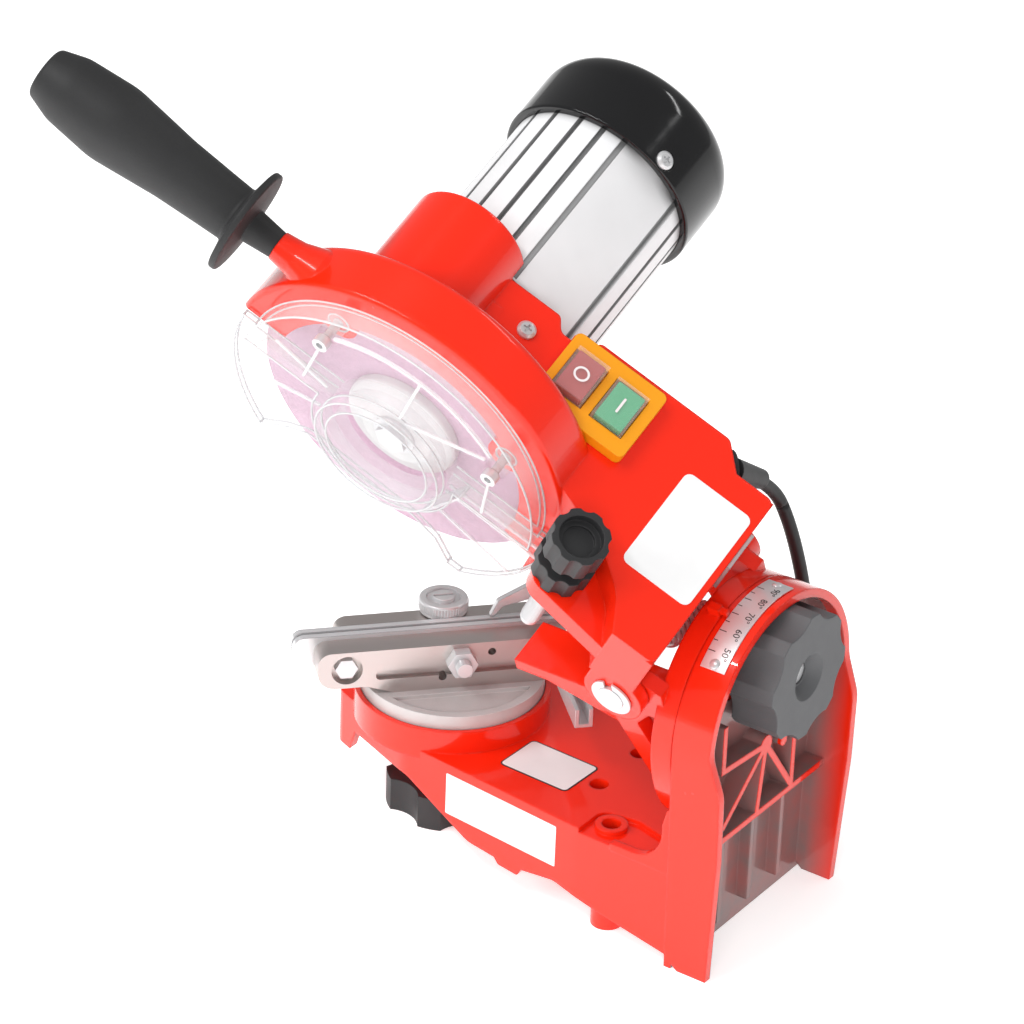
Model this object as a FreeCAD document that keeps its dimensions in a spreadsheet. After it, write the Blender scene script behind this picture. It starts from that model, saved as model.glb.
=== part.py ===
import FreeCAD, Part
import math
import operator
import os

import Sketcher
from FreeCAD import Placement, Rotation, Vector

# Bench chain grinder. Millimetres; z = 0 is the bench, x runs along the tilt axis towards the tilt knob.
SIZES = {
    # base and column
    "plate_top": 50.5, "plate_thick": 4.5, "wall": 4, "nose_x": -161, "nose_half": 21, "front_half": 41,
    "mid_half": 51, "foot_half": 52.5, "column_front": 38.5, "web_thick": 3.5, "arch_rear": 57,
    "foot_rear": 63, "arch_radius": 55.8, "tilt_z": 108.7, "rib_rear": 51.5, "rib_thick": 3,
    "hole_radius": 4.25, "rear_hole_half": 39, "front_hole_half": 16, "front_hole_x": -22,
    "seat_radius": 44, "seat_top": 61.5, "seat_floor": 57.3, "turntable_x": -112.5,
    # tilt lock
    "slot_radius": 22, "slot_half": 5.5, "slot_start": -31, "slot_sweep": 79, "lock_angle": -26.45,
    "lock_bolt_radius": 5, "pivot_radius": 6, "knob_clear": 4.8, "knob_rear": 46.5, "knob_face": 69,
    # turntable and vise
    "turntable_radius": 41.2, "turntable_top": 68, "spindle_radius": 6, "lock_knob_radius": 28.5,
    "lock_knob_height": 16, "rail_left": -73, "rail_right": 50, "rail_top": 92, "rail_height": 14,
    "rail_outer": 4, "rail_inner": 0.8, "jaw_outer": 16, "stud_z": 82, "stud_radius": 3.5,
    # yoke
    "yoke_front": 28.2, "yoke_rear": 38.2, "yoke_radius": 56, "cheek_outer": 41.5, "cheek_inner": 34,
    "pin_x": 10.9, "pin_u": 42.2, "pin_radius": 6, "pin_half": 50, "tongue_top": 24.6,
    # arm
    "ear_outer": 48.3, "ear_inner": 42, "ear_radius": 14, "panel_top": 44, "panel_floor": 8, "panel_end": 6,
    "panel_far": 60, "ledge_top": 28, "ledge_floor": 17.5, "wheel_x": -140.2, "drum_radius": 84,
    "drum_wall": 4.5,
    "drum_front": -9.5, "drum_back": 16.9, "window_radius": 62, "collar_radius": 44.5, "collar_end": 45,
    "lobe_radius": 27.3, "lobe_x": -24.6, "lobe_n": 33.4, "lobe_end": 70, "slab_far": 59,
    # motor, wheel and guard
    "spigot_radius": 41, "motor_radius": 43.5, "motor_flat": 38.5, "motor_front": 16, "motor_end": 156,
    "cap_radius": 47, "cap_wall": 3.45, "cap_front": 148.5, "cap_end": 192, "wheel_radius": 72.5,
    "wheel_half": 2,
    "flange_radius": 27, "shaft_radius": 8, "guard_radius": 75, "guard_front": -20, "guard_wall": 2.5,
    "wing_radius": 81.5, "ring_radius": 31, "ring_bore": 25.5,
    # handle and depth stop
    "handle_v": 3, "handle_n": 46, "handle_start": -224, "disc_radius": 24.3,
    "depth_x": -48.7, "depth_v": -30, "rod_radius": 4, "rod_tip": -22,
    # cord
    "cord_radius": 3, "coil_x": -24, "coil_y": 112, "coil_outer": 43, "coil_inner": 22,
}
TILT_REST = 22.45
SWING_REST = 30.7
VISE_REST = 47

doc = FreeCAD.newDocument("chain_grinder")
sheet = doc.addObject("Spreadsheet::Sheet", "sizes")
for row, (alias, number) in enumerate(SIZES.items(), start=1):
    sheet.set(f"A{row}", alias)
    sheet.set(f"B{row}", str(number))
    sheet.setAlias(f"B{row}", alias)
doc.recompute()


class Size:
    """A length with the sheet expression that gives it."""

    def __init__(self, value, text):
        self.value = float(value)
        self.text = text

    def joined(self, sign, action, left, right):
        left, right = size(left), size(right)
        return Size(action(left.value, right.value), f"({left.text} {sign} {right.text})")

    def __add__(self, other):
        return self.joined("+", operator.add, self, other)

    def __radd__(self, other):
        return self.joined("+", operator.add, other, self)

    def __sub__(self, other):
        return self.joined("-", operator.sub, self, other)

    def __rsub__(self, other):
        return self.joined("-", operator.sub, other, self)

    def __mul__(self, other):
        return self.joined("*", operator.mul, self, other)

    __rmul__ = __mul__

    def __neg__(self):
        return 0 - self


class Sheet:
    """The sheet's cells as sizes."""

    def __getattr__(self, alias):
        return Size(SIZES[alias], f"sizes.{alias}")


def size(item):
    return item if isinstance(item, Size) else Size(item, f"{item:.6f}")


def bind(obj, prop, item):
    item = size(item)
    setattr(obj, prop, item.value)
    if "sizes." in item.text:
        obj.setExpression(prop, item.text)


S = Sheet()
X, Y, Z = Vector(1, 0, 0), Vector(0, 1, 0), Vector(0, 0, 1)
ALONG = {"x": Rotation(Y, 90), "-x": Rotation(Y, -90), "y": Rotation(X, -90), "-y": Rotation(X, 90),
         "z": Rotation()}
PLANES = {"xy": Rotation(), "xz": Rotation(X, 90), "yz": Rotation(Vector(1, 1, 1), 120)}
NORMALS = {"xy": Z, "xz": Y, "yz": X}

WORLD = Placement()
VISE = Placement(Vector(S.turntable_x.value, 0, 0), Rotation(Z, VISE_REST))
HEAD = Placement(Vector(0, 0, S.tilt_z.value), Rotation(X, TILT_REST))
ARM = HEAD.multiply(Placement(Vector(S.pin_x.value, 0, S.pin_u.value), Rotation(Y, SWING_REST)))
NODES = []


def vector(place):
    return Vector(*[size(item).value for item in place])


def node(obj):
    NODES.append(obj)
    return obj


def cyl(name, frame, place, along, radius, height):
    obj = doc.addObject("Part::Cylinder", name)
    bind(obj, "Radius", radius)
    bind(obj, "Height", height)
    obj.Placement = frame.multiply(Placement(vector(place), ALONG[along]))
    return obj


def cone(name, frame, place, rotation, radius1, radius2, height):
    obj = doc.addObject("Part::Cone", name)
    bind(obj, "Radius1", radius1)
    bind(obj, "Radius2", radius2)
    bind(obj, "Height", height)
    obj.Placement = frame.multiply(Placement(vector(place), rotation))
    return obj


def box(name, frame, low, high, turn=None):
    obj = doc.addObject("Part::Box", name)
    for prop, start, end in zip(("Length", "Width", "Height"), low, high):
        bind(obj, prop, size(end) - start)
    obj.Placement = frame.multiply(Placement(vector(low), turn or Rotation()))
    return obj


def hexagon(name, frame, place, along, across, height):
    obj = doc.addObject("Part::Prism", name)
    obj.Polygon = 6
    bind(obj, "Circumradius", across / math.sqrt(3))
    bind(obj, "Height", height)
    obj.Placement = frame.multiply(Placement(vector(place), ALONG[along]))
    return obj


def fuse(name, *shapes):
    obj = doc.addObject("Part::MultiFuse", name)
    obj.Shapes = list(shapes)
    obj.Refine = True
    return obj


def cut(name, body, *tools):
    obj = doc.addObject("Part::Cut", name)
    obj.Base = body
    obj.Tool = tools[0] if len(tools) == 1 else fuse(name + "_tools", *tools)
    obj.Refine = True
    return obj


def outline(name, corners, placement):
    """A closed sketch of straight edges; a corner is (x, y) or (x, y, fillet radius)."""
    obj = doc.addObject("Sketcher::SketchObject", name + "_outline")
    obj.Placement = placement
    corners = [[size(item) for item in corner] for corner in corners]
    points = [Vector(corner[0].value, corner[1].value, 0) for corner in corners]
    count = len(points)
    arrive, leave, centres = [], [], []
    for i, (corner, here) in enumerate(zip(corners, points)):
        if len(corner) == 2:
            arrive.append(here)
            leave.append(here)
            centres.append(None)
            continue
        back = (points[i - 1] - here).normalize()
        ahead = (points[(i + 1) % count] - here).normalize()
        half = back.getAngle(ahead) / 2
        reach = corner[2].value / math.tan(half)
        arrive.append(here + back * reach)
        leave.append(here + ahead * reach)
        centres.append(here + (back + ahead).normalize() * (corner[2].value / math.sin(half)))
    for i, here in enumerate(points):
        if (arrive[(i + 1) % count] - leave[i]).dot(points[(i + 1) % count] - here) <= 0:
            raise ValueError(f"{name}: fillets overlap after corner {i}")
    lines = [obj.addGeometry(Part.LineSegment(leave[i], arrive[(i + 1) % count])) for i in range(count)]
    for i, corner in enumerate(corners):
        before, after = lines[i - 1], lines[i]
        anchor = after
        if centres[i] is None:
            obj.addConstraint(Sketcher.Constraint("Coincident", before, 2, after, 1))
        else:
            left = (points[i] - points[i - 1]).cross(points[(i + 1) % count] - points[i]).z > 0
            first, last = (arrive[i], leave[i]) if left else (leave[i], arrive[i])
            start, end = [math.atan2(p.y - centres[i].y, p.x - centres[i].x) for p in (first, last)]
            circle = Part.Circle(centres[i], Z, corner[2].value)
            arc = obj.addGeometry(Part.ArcOfCircle(circle, start, end if end > start else end + 2 * math.pi))
            enter, leave_end = (1, 2) if left else (2, 1)
            anchor = obj.addGeometry(Part.Point(points[i]), True)
            obj.addConstraint(Sketcher.Constraint("Tangent", before, 2, arc, enter))
            obj.addConstraint(Sketcher.Constraint("Tangent", arc, leave_end, after, 1))
            obj.addConstraint(Sketcher.Constraint("PointOnObject", anchor, 1, before))
            obj.addConstraint(Sketcher.Constraint("PointOnObject", anchor, 1, after))
            fix(obj, corner[2], "Radius", arc)
        for axis, item, line in (("DistanceX", corner[0], -2), ("DistanceY", corner[1], -1)):
            if item.value == 0:
                obj.addConstraint(Sketcher.Constraint("PointOnObject", anchor, 1, line))
            else:
                fix(obj, item, axis, -1, 1, anchor, 1)
    return obj


def fix(obj, item, *place):
    index = obj.addConstraint(Sketcher.Constraint(*place, item.value))
    if "sizes." in item.text:
        obj.setExpression(f"Constraints[{index}]", item.text)


def prism(name, frame, plane, offset, corners, depth):
    """An outline extruded; in the xz plane it runs towards -y from the offset."""
    start = NORMALS[plane] * size(offset).value
    obj = doc.addObject("Part::Extrusion", name)
    obj.Base = outline(name, corners, frame.multiply(Placement(start, PLANES[plane])))
    obj.DirMode = "Normal"
    bind(obj, "LengthFwd", depth)
    obj.Solid = True
    return obj


def lathe(name, frame, place, along, corners, angle=360, start=0):
    """A (radius, height) outline turned about the line through place."""
    turned = Placement(Vector(), Rotation(Z, start))
    base = frame.multiply(Placement(vector(place), ALONG[along])).multiply(turned)
    obj = doc.addObject("Part::Revolution", name)
    obj.Source = outline(name, corners, base.multiply(Placement(Vector(), PLANES["xz"])))
    obj.Axis = base.Rotation.multVec(Z)
    obj.Base = base.Base
    bind(obj, "Angle", angle)
    obj.Solid = True
    return obj


def lobed(name, frame, place, along, radius, height, lobes, scallop, depth):
    """A knob body with scallops round its edge."""
    body = cyl(name + "_blank", frame, place, along, radius, height)
    turned = frame.multiply(Placement(vector(place), ALONG[along]))
    scallops = []
    for i in range(lobes):
        spin = turned.multiply(Placement(Vector(), Rotation(Z, 360 * (i + 0.5) / lobes)))
        scallops.append(cyl(f"{name}_scallop", spin, (size(radius) + scallop - depth, 0, -1), "z", scallop,
                            size(height) + 2))
    return cut(name + "_lobes", body, *scallops)


def arc_edge(start, tangent, end):
    """The arc that leaves start along tangent and reaches end."""
    chord = end - start
    angle = tangent.getAngle(chord)
    if angle < 1e-6:
        return Part.makeLine(start, end)
    side = tangent * chord.dot(tangent) - chord
    middle = start + chord * 0.5 + side_of(chord, side) * (chord.Length / 2 * math.tan(angle / 2))
    return Part.Arc(start, middle, end).toShape()


def side_of(chord, side):
    """The part of side square to chord, as a unit vector."""
    return (side - chord * (side.dot(chord) / chord.dot(chord))).normalize()


def biarc(start, leaving, end, arriving):
    """Two tangent arcs from start to end."""
    chord, both = end - start, leaving + arriving
    slack = 2 * (1 - leaving.dot(arriving))
    along = chord.dot(both)
    reach = (math.sqrt(along * along + slack * chord.dot(chord)) - along) / slack
    middle = (start + end + (leaving - arriving) * reach) * 0.5
    second = arc_edge(end, arriving * -1, middle)
    return [arc_edge(start, leaving, middle), second]


def tube(name, edges, start, direction, radius):
    """A round section swept along edges, as one solid."""
    wire = Part.Wire(Part.__sortEdges__(edges))
    ring = Part.Wire(Part.makeCircle(radius, start, direction))
    obj = doc.addObject("Part::Feature", name)
    obj.Shape = wire.makePipeShell([ring], True, False)
    swept = math.pi * radius ** 2 * wire.Length
    print(f"{name}: length {wire.Length:.0f}, volume / section x length {obj.Shape.Volume / swept:.4f}")
    return obj


def winding(name, point_at, turns, radius, lead=()):
    """A tube through point_at(turn) on biarcs of a quarter turn, with straight leads to the given points."""
    points, step = [], 1e-4
    for i in range(int(turns * 4) + 1):
        turn = i / 4
        ahead = point_at(min(turn + step, turns)) - point_at(max(turn - step, 0))
        points.append((point_at(turn), ahead.normalize()))
    edges = []
    for (start, leaving), (end, arriving) in zip(points, points[1:]):
        edges += biarc(start, leaving, end, arriving)
    last, direction = points[-1]
    for length in lead:
        edges.append(Part.makeLine(last, last + direction * length))
    samples = [point_at(i / 96) for i in range(int(turns * 96) + 1)]
    least = min((a - b).Length for i, a in enumerate(samples) for b in samples[i + 64::3])
    print(f"{name}: least gap between turns {least - 2 * radius:.2f}")
    return tube(name, edges, points[0][0], points[0][1], radius)


def cord(name, points, radius):
    """A tube of straight runs joined by tangent arcs."""
    edges, at, radii = [], points[0], []
    for before, here, after in zip(points, points[1:], points[2:]):
        back, ahead = before - here, after - here
        half = back.getAngle(ahead) / 2
        reach = 0.45 * min(back.Length, ahead.Length)
        radii.append(reach * math.tan(half))
        first, last = here + back.normalize() * reach, here + ahead.normalize() * reach
        edges += [Part.makeLine(at, first), arc_edge(first, (here - first).normalize(), last)]
        at = last
    edges.append(Part.makeLine(at, points[-1]))
    print(f"{name}: radii {[round(item) for item in radii]}")
    return tube(name, edges, points[0], points[1] - points[0], radius)


# base casting: plate on a skirt, turntable seat, column with arch, web and ribs
inner_half = S.foot_half - S.wall
web_rear = S.column_front + S.web_thick
plan = [(S.nose_x, -S.nose_half, 8), (-110, -S.front_half, 25), (-10, -S.mid_half, 40),
        (web_rear, -S.foot_half), (web_rear, S.foot_half), (-10, S.mid_half, 40),
        (-110, S.front_half, 25), (S.nose_x, S.nose_half, 8)]
hollow = [(S.nose_x + 4, 4 - S.nose_half), (-108, 4 - S.front_half), (-9, 4 - S.mid_half),
          (S.column_front, -inner_half), (S.column_front, inner_half), (-9, S.mid_half - 4),
          (-108, S.front_half - 4), (S.nose_x + 4, S.nose_half - 4)]
skirt = cut("skirt", prism("skirt_outer", WORLD, "xy", 0, plan, S.plate_top),
            prism("skirt_hollow", WORLD, "xy", -1, hollow, S.plate_top - S.plate_thick + 1),
            prism("front_underside", WORLD, "xz", 80,
                  [(-175, -2), (S.column_front, -2), (S.column_front, 6), (4, 12, 30), (-22, 18, 12),
                   (-40, 15),
                   (-42, 11.3, 1.5), (-53, 12, 1.5),
                   (-55.5, 14.8), (-71, 16, 14), (-108, 35, 12), (-146, 35), (-150, 24), (-175, 24)], 160),
            *[prism("bolt_pocket", WORLD, "xy", S.plate_top - 2,
                    [(-9, side * 60), (30, side * 60), (30, side * 36, 9), (8, side * 30, 9),
                     (-9, side * 33, 6)], 5)
              for side in (-1, 1)])
def arch(name, start, foot_half, bottom, wall, depth):
    """The column's outline with its round head, less the wall, extruded along x."""
    top = S.tilt_z + S.arch_radius - wall
    top_half = foot_half + (S.arch_radius - S.foot_half) * HEAD_RATIO
    head = S.arch_radius - wall - 0.8
    return prism(name, WORLD, "yz", start, [(-foot_half, bottom), (foot_half, bottom), (top_half, top, head),
                                            (-top_half, top, head)], depth)


HEAD_RATIO = (S.tilt_z.value + S.arch_radius.value) / S.tilt_z.value
column = cut(
    "column", arch("column_wall", S.column_front, S.foot_half, 0, 0, S.foot_rear - S.column_front),
    prism("foot_flare", WORLD, "xz", 80,
          [(S.foot_rear + 9, 70), (S.foot_rear + 9, 180), (S.arch_rear, 180), (S.arch_rear, 112, 20),
           (S.foot_rear, 95, 20), (S.foot_rear, 70)], 160),
    prism("foot_taper", WORLD, "xz", 80,
          [(S.foot_rear + 9, -2), (S.foot_rear + 9, 62), (S.foot_rear, 62), (S.foot_rear - 3.4, -2)], 160),
    prism("foot_toe", WORLD, "xz", 80, [(S.column_front - 1, -1), (S.column_front + 8, -1),
                                        (S.column_front - 1, 6.3)], 160),
    arch("column_hollow", web_rear, inner_half, -1, S.wall, 40),
    box("web_foot_gap", WORLD, (30, -inner_half, -1), (50, inner_half, 10)))


def rib(name, y1, z1, y2, z2, rear):
    length = math.hypot(y2 - y1, z2 - z1)
    angle = math.degrees(math.atan2(z2 - z1, y2 - y1))
    frame = Placement(Vector(web_rear.value - 1, y1, z1), Rotation(X, angle))
    return box(name, frame, (0, 0, -0.5 * S.rib_thick), (rear - web_rear + 1, length, 0.5 * S.rib_thick))


ribs = [rib("rib", *ends, S.rib_rear) for ends in (
    (0, 91, -34.5, 94), (0, 91, -32, 64), (0, 91, -4.4, 58), (0, 91, 23, 60), (-34, 92.5, -34, 116),
    (23.4, 58, 23.4, 98), (-50, 58, 50, 58))]
ribs += [rib("lower_rib", y, 11, y, 58, S.rib_rear - 4) for y in (-24, 0, 24)]
gusset = [(8, S.plate_top - 4), (39.5, S.plate_top - 4), (39.5, 79), (36, 78, 1.5), (34, 70),
          (34, S.plate_top, 15), (8, S.plate_top)]
gussets = [prism("gusset", WORLD, "xz", side, gusset, S.wall) for side in (S.wall - S.foot_half, S.foot_half)]
bosses = [cyl("hub", WORLD, (web_rear - 1, 0, 91), "x", 4.5, S.rib_rear - web_rear + 1),
          cyl("rib_pin", WORLD, (web_rear - 1, 12, 88), "x", 2.5, 12),
          cyl("seat", WORLD, (S.turntable_x, 0, S.plate_top - 4), "z", S.seat_radius,
              S.seat_top - S.plate_top + 4),
          cyl("spindle_boss", WORLD, (S.turntable_x, 0, 33), "z", 13, 14)]
FRONT_BOSS = 22
hole_places = [(0, S.rear_hole_half), (0, -S.rear_hole_half), (S.front_hole_x, S.front_hole_half),
               (S.front_hole_x, -S.front_hole_half)]
bosses += [cyl("bolt_boss", WORLD, (x, y, start), "z", S.hole_radius + 3, S.plate_top - start)
           for (x, y), start in zip(hole_places, (0, 0, FRONT_BOSS, FRONT_BOSS))]
slot_profile = [(S.slot_radius - S.slot_half, -3), (S.slot_radius + S.slot_half, -3),
                (S.slot_radius + S.slot_half, 8), (S.slot_radius - S.slot_half, 8)]
SPIN = Placement(Vector(S.column_front.value, 0, S.tilt_z.value), Rotation(X, S.slot_start.value))
slot = [lathe("slot_arc", SPIN, (0, 0, 0), "x", slot_profile, S.slot_sweep, 180)]
for angle in (S.slot_start.value, S.slot_start.value + S.slot_sweep.value):
    end = Placement(Vector(S.column_front.value, 0, S.tilt_z.value), Rotation(X, angle))
    slot.append(cyl("slot_end", end, (-3, 0, S.slot_radius), "x", S.slot_half, 11))
base_holes = [cyl("bolt_hole", WORLD, (x, y, -1), "z", S.hole_radius, S.plate_top + 2)
              for x, y in hole_places]
node(cut("base_casting", fuse("base_solid", skirt, column, *ribs, *gussets, *bosses),
         cyl("seat_pocket", WORLD, (S.turntable_x, 0, S.seat_floor), "z", S.turntable_radius + 0.4, 10),
         cyl("spindle_bore", WORLD, (S.turntable_x, 0, 20), "z", S.spindle_radius + 0.06, 60),
         cyl("pivot_bore", WORLD, (30, 0, S.tilt_z), "x", S.pivot_radius + 0.06, 20), *slot, *base_holes))

# tilt scale on the arch
strip_profile = [(S.arch_radius + 0.4, 3), (S.arch_radius + 1, 3), (S.arch_radius + 1, 15),
                 (S.arch_radius + 0.4, 15)]
STRIP = Placement(Vector(S.column_front.value, 0, S.tilt_z.value), Rotation(X, -10))
node(lathe("tilt_scale_strip", STRIP, (0, 0, 0), "x", strip_profile, 58, 180))

# turntable, spindle and lock knob
node(cut("turntable_disc",
         cyl("disc_blank", VISE, (0, 0, S.seat_floor + 0.3), "z", S.turntable_radius,
             S.turntable_top - S.seat_floor - 0.3),
         cyl("disc_bore", VISE, (0, 0, 50), "z", S.spindle_radius + 0.02, 16),
         cut("disc_recess", cyl("recess_round", VISE, (0, 0, S.turntable_top - 2), "z",
                                S.turntable_radius - 4, 5),
             box("recess_flat", VISE, (-50, -20, 50), (50, 50, 90)))))
node(fuse("turntable_spindle", cyl("spindle_shank", VISE, (0, 0, 6), "z", S.spindle_radius, 60),
          cyl("spindle_collar", VISE, (0, 0, S.lock_knob_height + 0.4), "z", 10,
              32.7 - S.lock_knob_height - 0.4)))
node(cut("vise_lock_knob",
         lobed("vise_lock_knob", VISE, (0, 0, 0), "z", S.lock_knob_radius, S.lock_knob_height, 6, 14, 5),
         cyl("knob_cup", VISE, (0, 0, -1), "z", S.lock_knob_radius - 9, 4),
         cyl("knob_bore", VISE, (0, 0, 0), "z", S.spindle_radius + 0.06, 30)))

# vise: two rails between a fixed and a moving jaw
rail_bottom = S.rail_top - S.rail_height
rail = [(S.rail_left, rail_bottom, 6), (S.rail_right, rail_bottom, 3), (S.rail_right, S.rail_top),
        (S.rail_left, S.rail_top, 5)]
stud_hole = ("y", S.stud_radius + 0.1, 60)
node(cut("fixed_rail", prism("rail_a", VISE, "xz", -S.rail_inner, rail, S.rail_outer - S.rail_inner),
         cyl("rail_a_hole", VISE, (0, -30, S.stud_z), *stud_hole)))
node(cut("moving_rail", prism("rail_b", VISE, "xz", S.rail_outer, rail, S.rail_outer - S.rail_inner),
         cyl("rail_b_hole", VISE, (0, -30, S.stud_z), *stud_hole)))
fixed_side = [(-30, S.turntable_top, 4), (38, S.turntable_top), (48, 72, 4), (48, S.rail_top - 2),
              (-64, S.rail_top - 2, 6), (-64, 72, 8), (-42, 72, 6)]
node(cut("fixed_jaw",
         fuse("fixed_jaw_solid",
              prism("fixed_jaw_side", VISE, "xz", -S.rail_outer, fixed_side, S.jaw_outer - S.rail_outer),
              box("lever_lug", VISE, (43.8, -26, 71.5), (47.2, -14, 79.5))),
         cyl("fixed_stud_hole", VISE, (0, -40, S.stud_z), *stud_hole),
         cyl("nut_recess", VISE, (-51, -17, 81), "y", 7, 5),
         cyl("lug_hole", VISE, (40, -22, 75.5), "x", 2.52, 20),
         cyl("small_hole_a", VISE, (14, -17, 85), "y", 1.8, 8),
         cyl("small_hole_b", VISE, (-8, -17, 74), "y", 1.8, 8),
         prism("jaw_relief", VISE, "xz", -13.5, [(-38, 75, 2), (34, 75, 2), (34, 79.5, 2), (-38, 79.5, 2)],
               4)))
node(hexagon("jaw_nut", VISE, (-51, -15, 81), "y", 9, 2.95))
moving_side = [(-34, S.turntable_top + 0.4), (34, S.turntable_top + 0.4), (42, 74, 4), (42, S.rail_top - 2),
               (-52, S.rail_top - 2, 6), (-52, 74, 8)]
node(cut("moving_jaw",
         fuse("moving_jaw_solid",
              prism("moving_jaw_side", VISE, "xz", S.jaw_outer, moving_side, S.jaw_outer - S.rail_outer),
              cyl("adjuster_pad", VISE, (-2, 15, S.rail_top - 10), "z", 7, 8),
              box("pawl_post", VISE, (36, 5, S.rail_top - 6), (44, 12, S.rail_top + 19))),
         cyl("moving_stud_hole", VISE, (0, -10, S.stud_z), *stud_hole),
         cyl("adjuster_bore", VISE, (-2, 15, S.rail_top - 6), "z", 3.06, 10),
         cyl("pawl_bore", VISE, (40, -5, S.rail_top + 14), "y", 2.06, 30)))
node(fuse("clamp_stud", cyl("stud_shank", VISE, (0, -26, S.stud_z), "y", S.stud_radius, 50.5),
          cyl("stud_head", VISE, (0, 24, S.stud_z), "y", 6, 4)))
node(cut("stud_nut", hexagon("stud_nut_blank", VISE, (0, -S.jaw_outer - 5.5, S.stud_z), "y", 12, 5.48),
         cyl("stud_nut_bore", VISE, (0, -30, S.stud_z), "y", S.stud_radius + 0.02, 20)))
node(cut("stop_adjuster",
         fuse("adjuster_solid",
              lathe("adjuster_cap", VISE, (-2, 15, S.rail_top - 1.6), "z",
                    [(0, 0), (11, 0, 0.5), (11, 6.4, 1), (7.8, 6.4), (7.8, 5), (5, 5), (5, 7.2, 0.6),
                     (0, 7.2)]),
              cyl("adjuster_stem", VISE, (-2, 15, S.rail_top - 5.8), "z", 3, 6)),
         box("adjuster_slot", VISE, (-6.6, 14.3, S.rail_top + 4.4), (2.6, 15.7, S.rail_top + 8))))
pawl_side = [(16.5, S.rail_top + 0.5), (18.5, S.rail_top + 0.5), (22, S.rail_top + 5, 3),
             (41, S.rail_top + 9.5, 2.5),
             (45, S.rail_top + 14, 2.5), (41, S.rail_top + 18.5, 2.5), (20, S.rail_top + 8, 3)]
node(fuse("chain_stop_pawl", prism("pawl_strip", VISE, "xz", 4.6, pawl_side, 3),
          cyl("pawl_pin", VISE, (40, 2, S.rail_top + 14), "y", 2, 11.5)))
node(cut("clamp_lever", prism("lever_blank", VISE, "xz", -18.5,
                              [(41.5, 71), (49.5, 71), (49.5, 80), (41.5, 80)], 44),
         box("lever_channel", VISE, (43.3, -70, 72.6), (47.7, 0, 90)),
         box("lever_clear", VISE, (40, -27, 60), (50, -10, 72.6)),
         cyl("lever_bore", VISE, (40, -22, 75.5), "x", 2.02, 20)))
node(fuse("clamp_pin", cyl("clamp_pin_shank", VISE, (40.2, -22, 75.5), "x", 2, 10.6),
          cyl("clamp_pin_head", VISE, (39.6, -22, 75.5), "x", 3.4, 1.88)))

# yoke: disc against the web, two cheeks, depth-stop tongue
LOCK = HEAD.multiply(Placement(Vector(), Rotation(X, S.lock_angle.value)))
PIN = HEAD.multiply(Placement(Vector(S.pin_x.value, 0, S.pin_u.value), Rotation()))
cheek = [(S.yoke_front + 3, -28), (S.yoke_front + 3, 44), (22, 49, 8), (S.pin_x - 8, 56.5, 12),
         (S.pin_x - 14, 34, 12), (14, -14, 10), (18, -28)]
cheeks = [prism("cheek_far", HEAD, "xz", S.cheek_outer, cheek, S.cheek_outer - S.cheek_inner),
          prism("cheek_near", HEAD, "xz", -S.cheek_inner, cheek, S.cheek_outer - S.cheek_inner)]
node(cut("yoke_casting",
         fuse("yoke_solid", *cheeks,
              cut("yoke_disc", cyl("disc_round", HEAD, (S.yoke_front, 0, 0), "x", S.yoke_radius,
                                   S.yoke_rear - S.yoke_front),
                  box("disc_flat", HEAD, (20, -70, -70), (45, 70, -32))),
              box("yoke_floor", HEAD, (18, -S.cheek_outer, -28), (S.yoke_front + 2, S.cheek_outer, -22)),
              box("tongue", HEAD, (-50, -38, S.tongue_top - 6), (20, -15, S.tongue_top)),
              prism("tongue_rib", HEAD, "xz", -34, [(-38, S.tongue_top - 5), (22, S.tongue_top - 22),
                                                    (22, S.tongue_top - 5)], 4),
              box("pointer", HEAD, (S.yoke_front + 4, -2, 50), (S.yoke_rear, 2, 60.5)),
              box("pointer_tip", HEAD, (S.yoke_rear - 1, -1.2, 57.3), (S.yoke_rear + 3.5, 1.2, 60))),
         prism("cheek_opening", HEAD, "xz", -30, [(26, -12, 3), (26, 32, 3), (14, 18, 3)], 14),
         cyl("yoke_pin_bore", PIN, (0, -60, 0), "y", S.pin_radius + 0.02, 120),
         cyl("yoke_pivot_bore", HEAD, (0, 0, 0), "x", S.pivot_radius + 0.02, 60),
         cyl("yoke_lock_bore", LOCK, (0, 0, S.slot_radius), "x", S.lock_bolt_radius + 0.02, 60)))
node(fuse("tilt_pivot_bolt", hexagon("pivot_head", HEAD, (S.yoke_front - 7, 0, 0), "x", 18, 6.98),
          cyl("pivot_shank", HEAD, (S.yoke_front - 1, 0, 0), "x", S.pivot_radius, 16.6),
          cyl("pivot_flange", HEAD, (42.2, 0, 0), "x", 9, 2)))
node(fuse("tilt_lock_bolt", hexagon("lock_head", LOCK, (S.yoke_front - 6, 0, S.slot_radius), "x", 15, 5.98),
          cyl("lock_shank", LOCK, (S.yoke_front - 1, 0, S.slot_radius), "x", S.lock_bolt_radius, 36)))
node(cut("tilt_washer", cyl("washer_round", LOCK, (42.25, 0, S.slot_radius), "x", 10, 1.6),
         cyl("washer_bore", LOCK, (40, 0, S.slot_radius), "x", S.lock_bolt_radius + 0.05, 10)))
knob_place = (S.knob_rear, 0, S.slot_radius)
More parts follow.
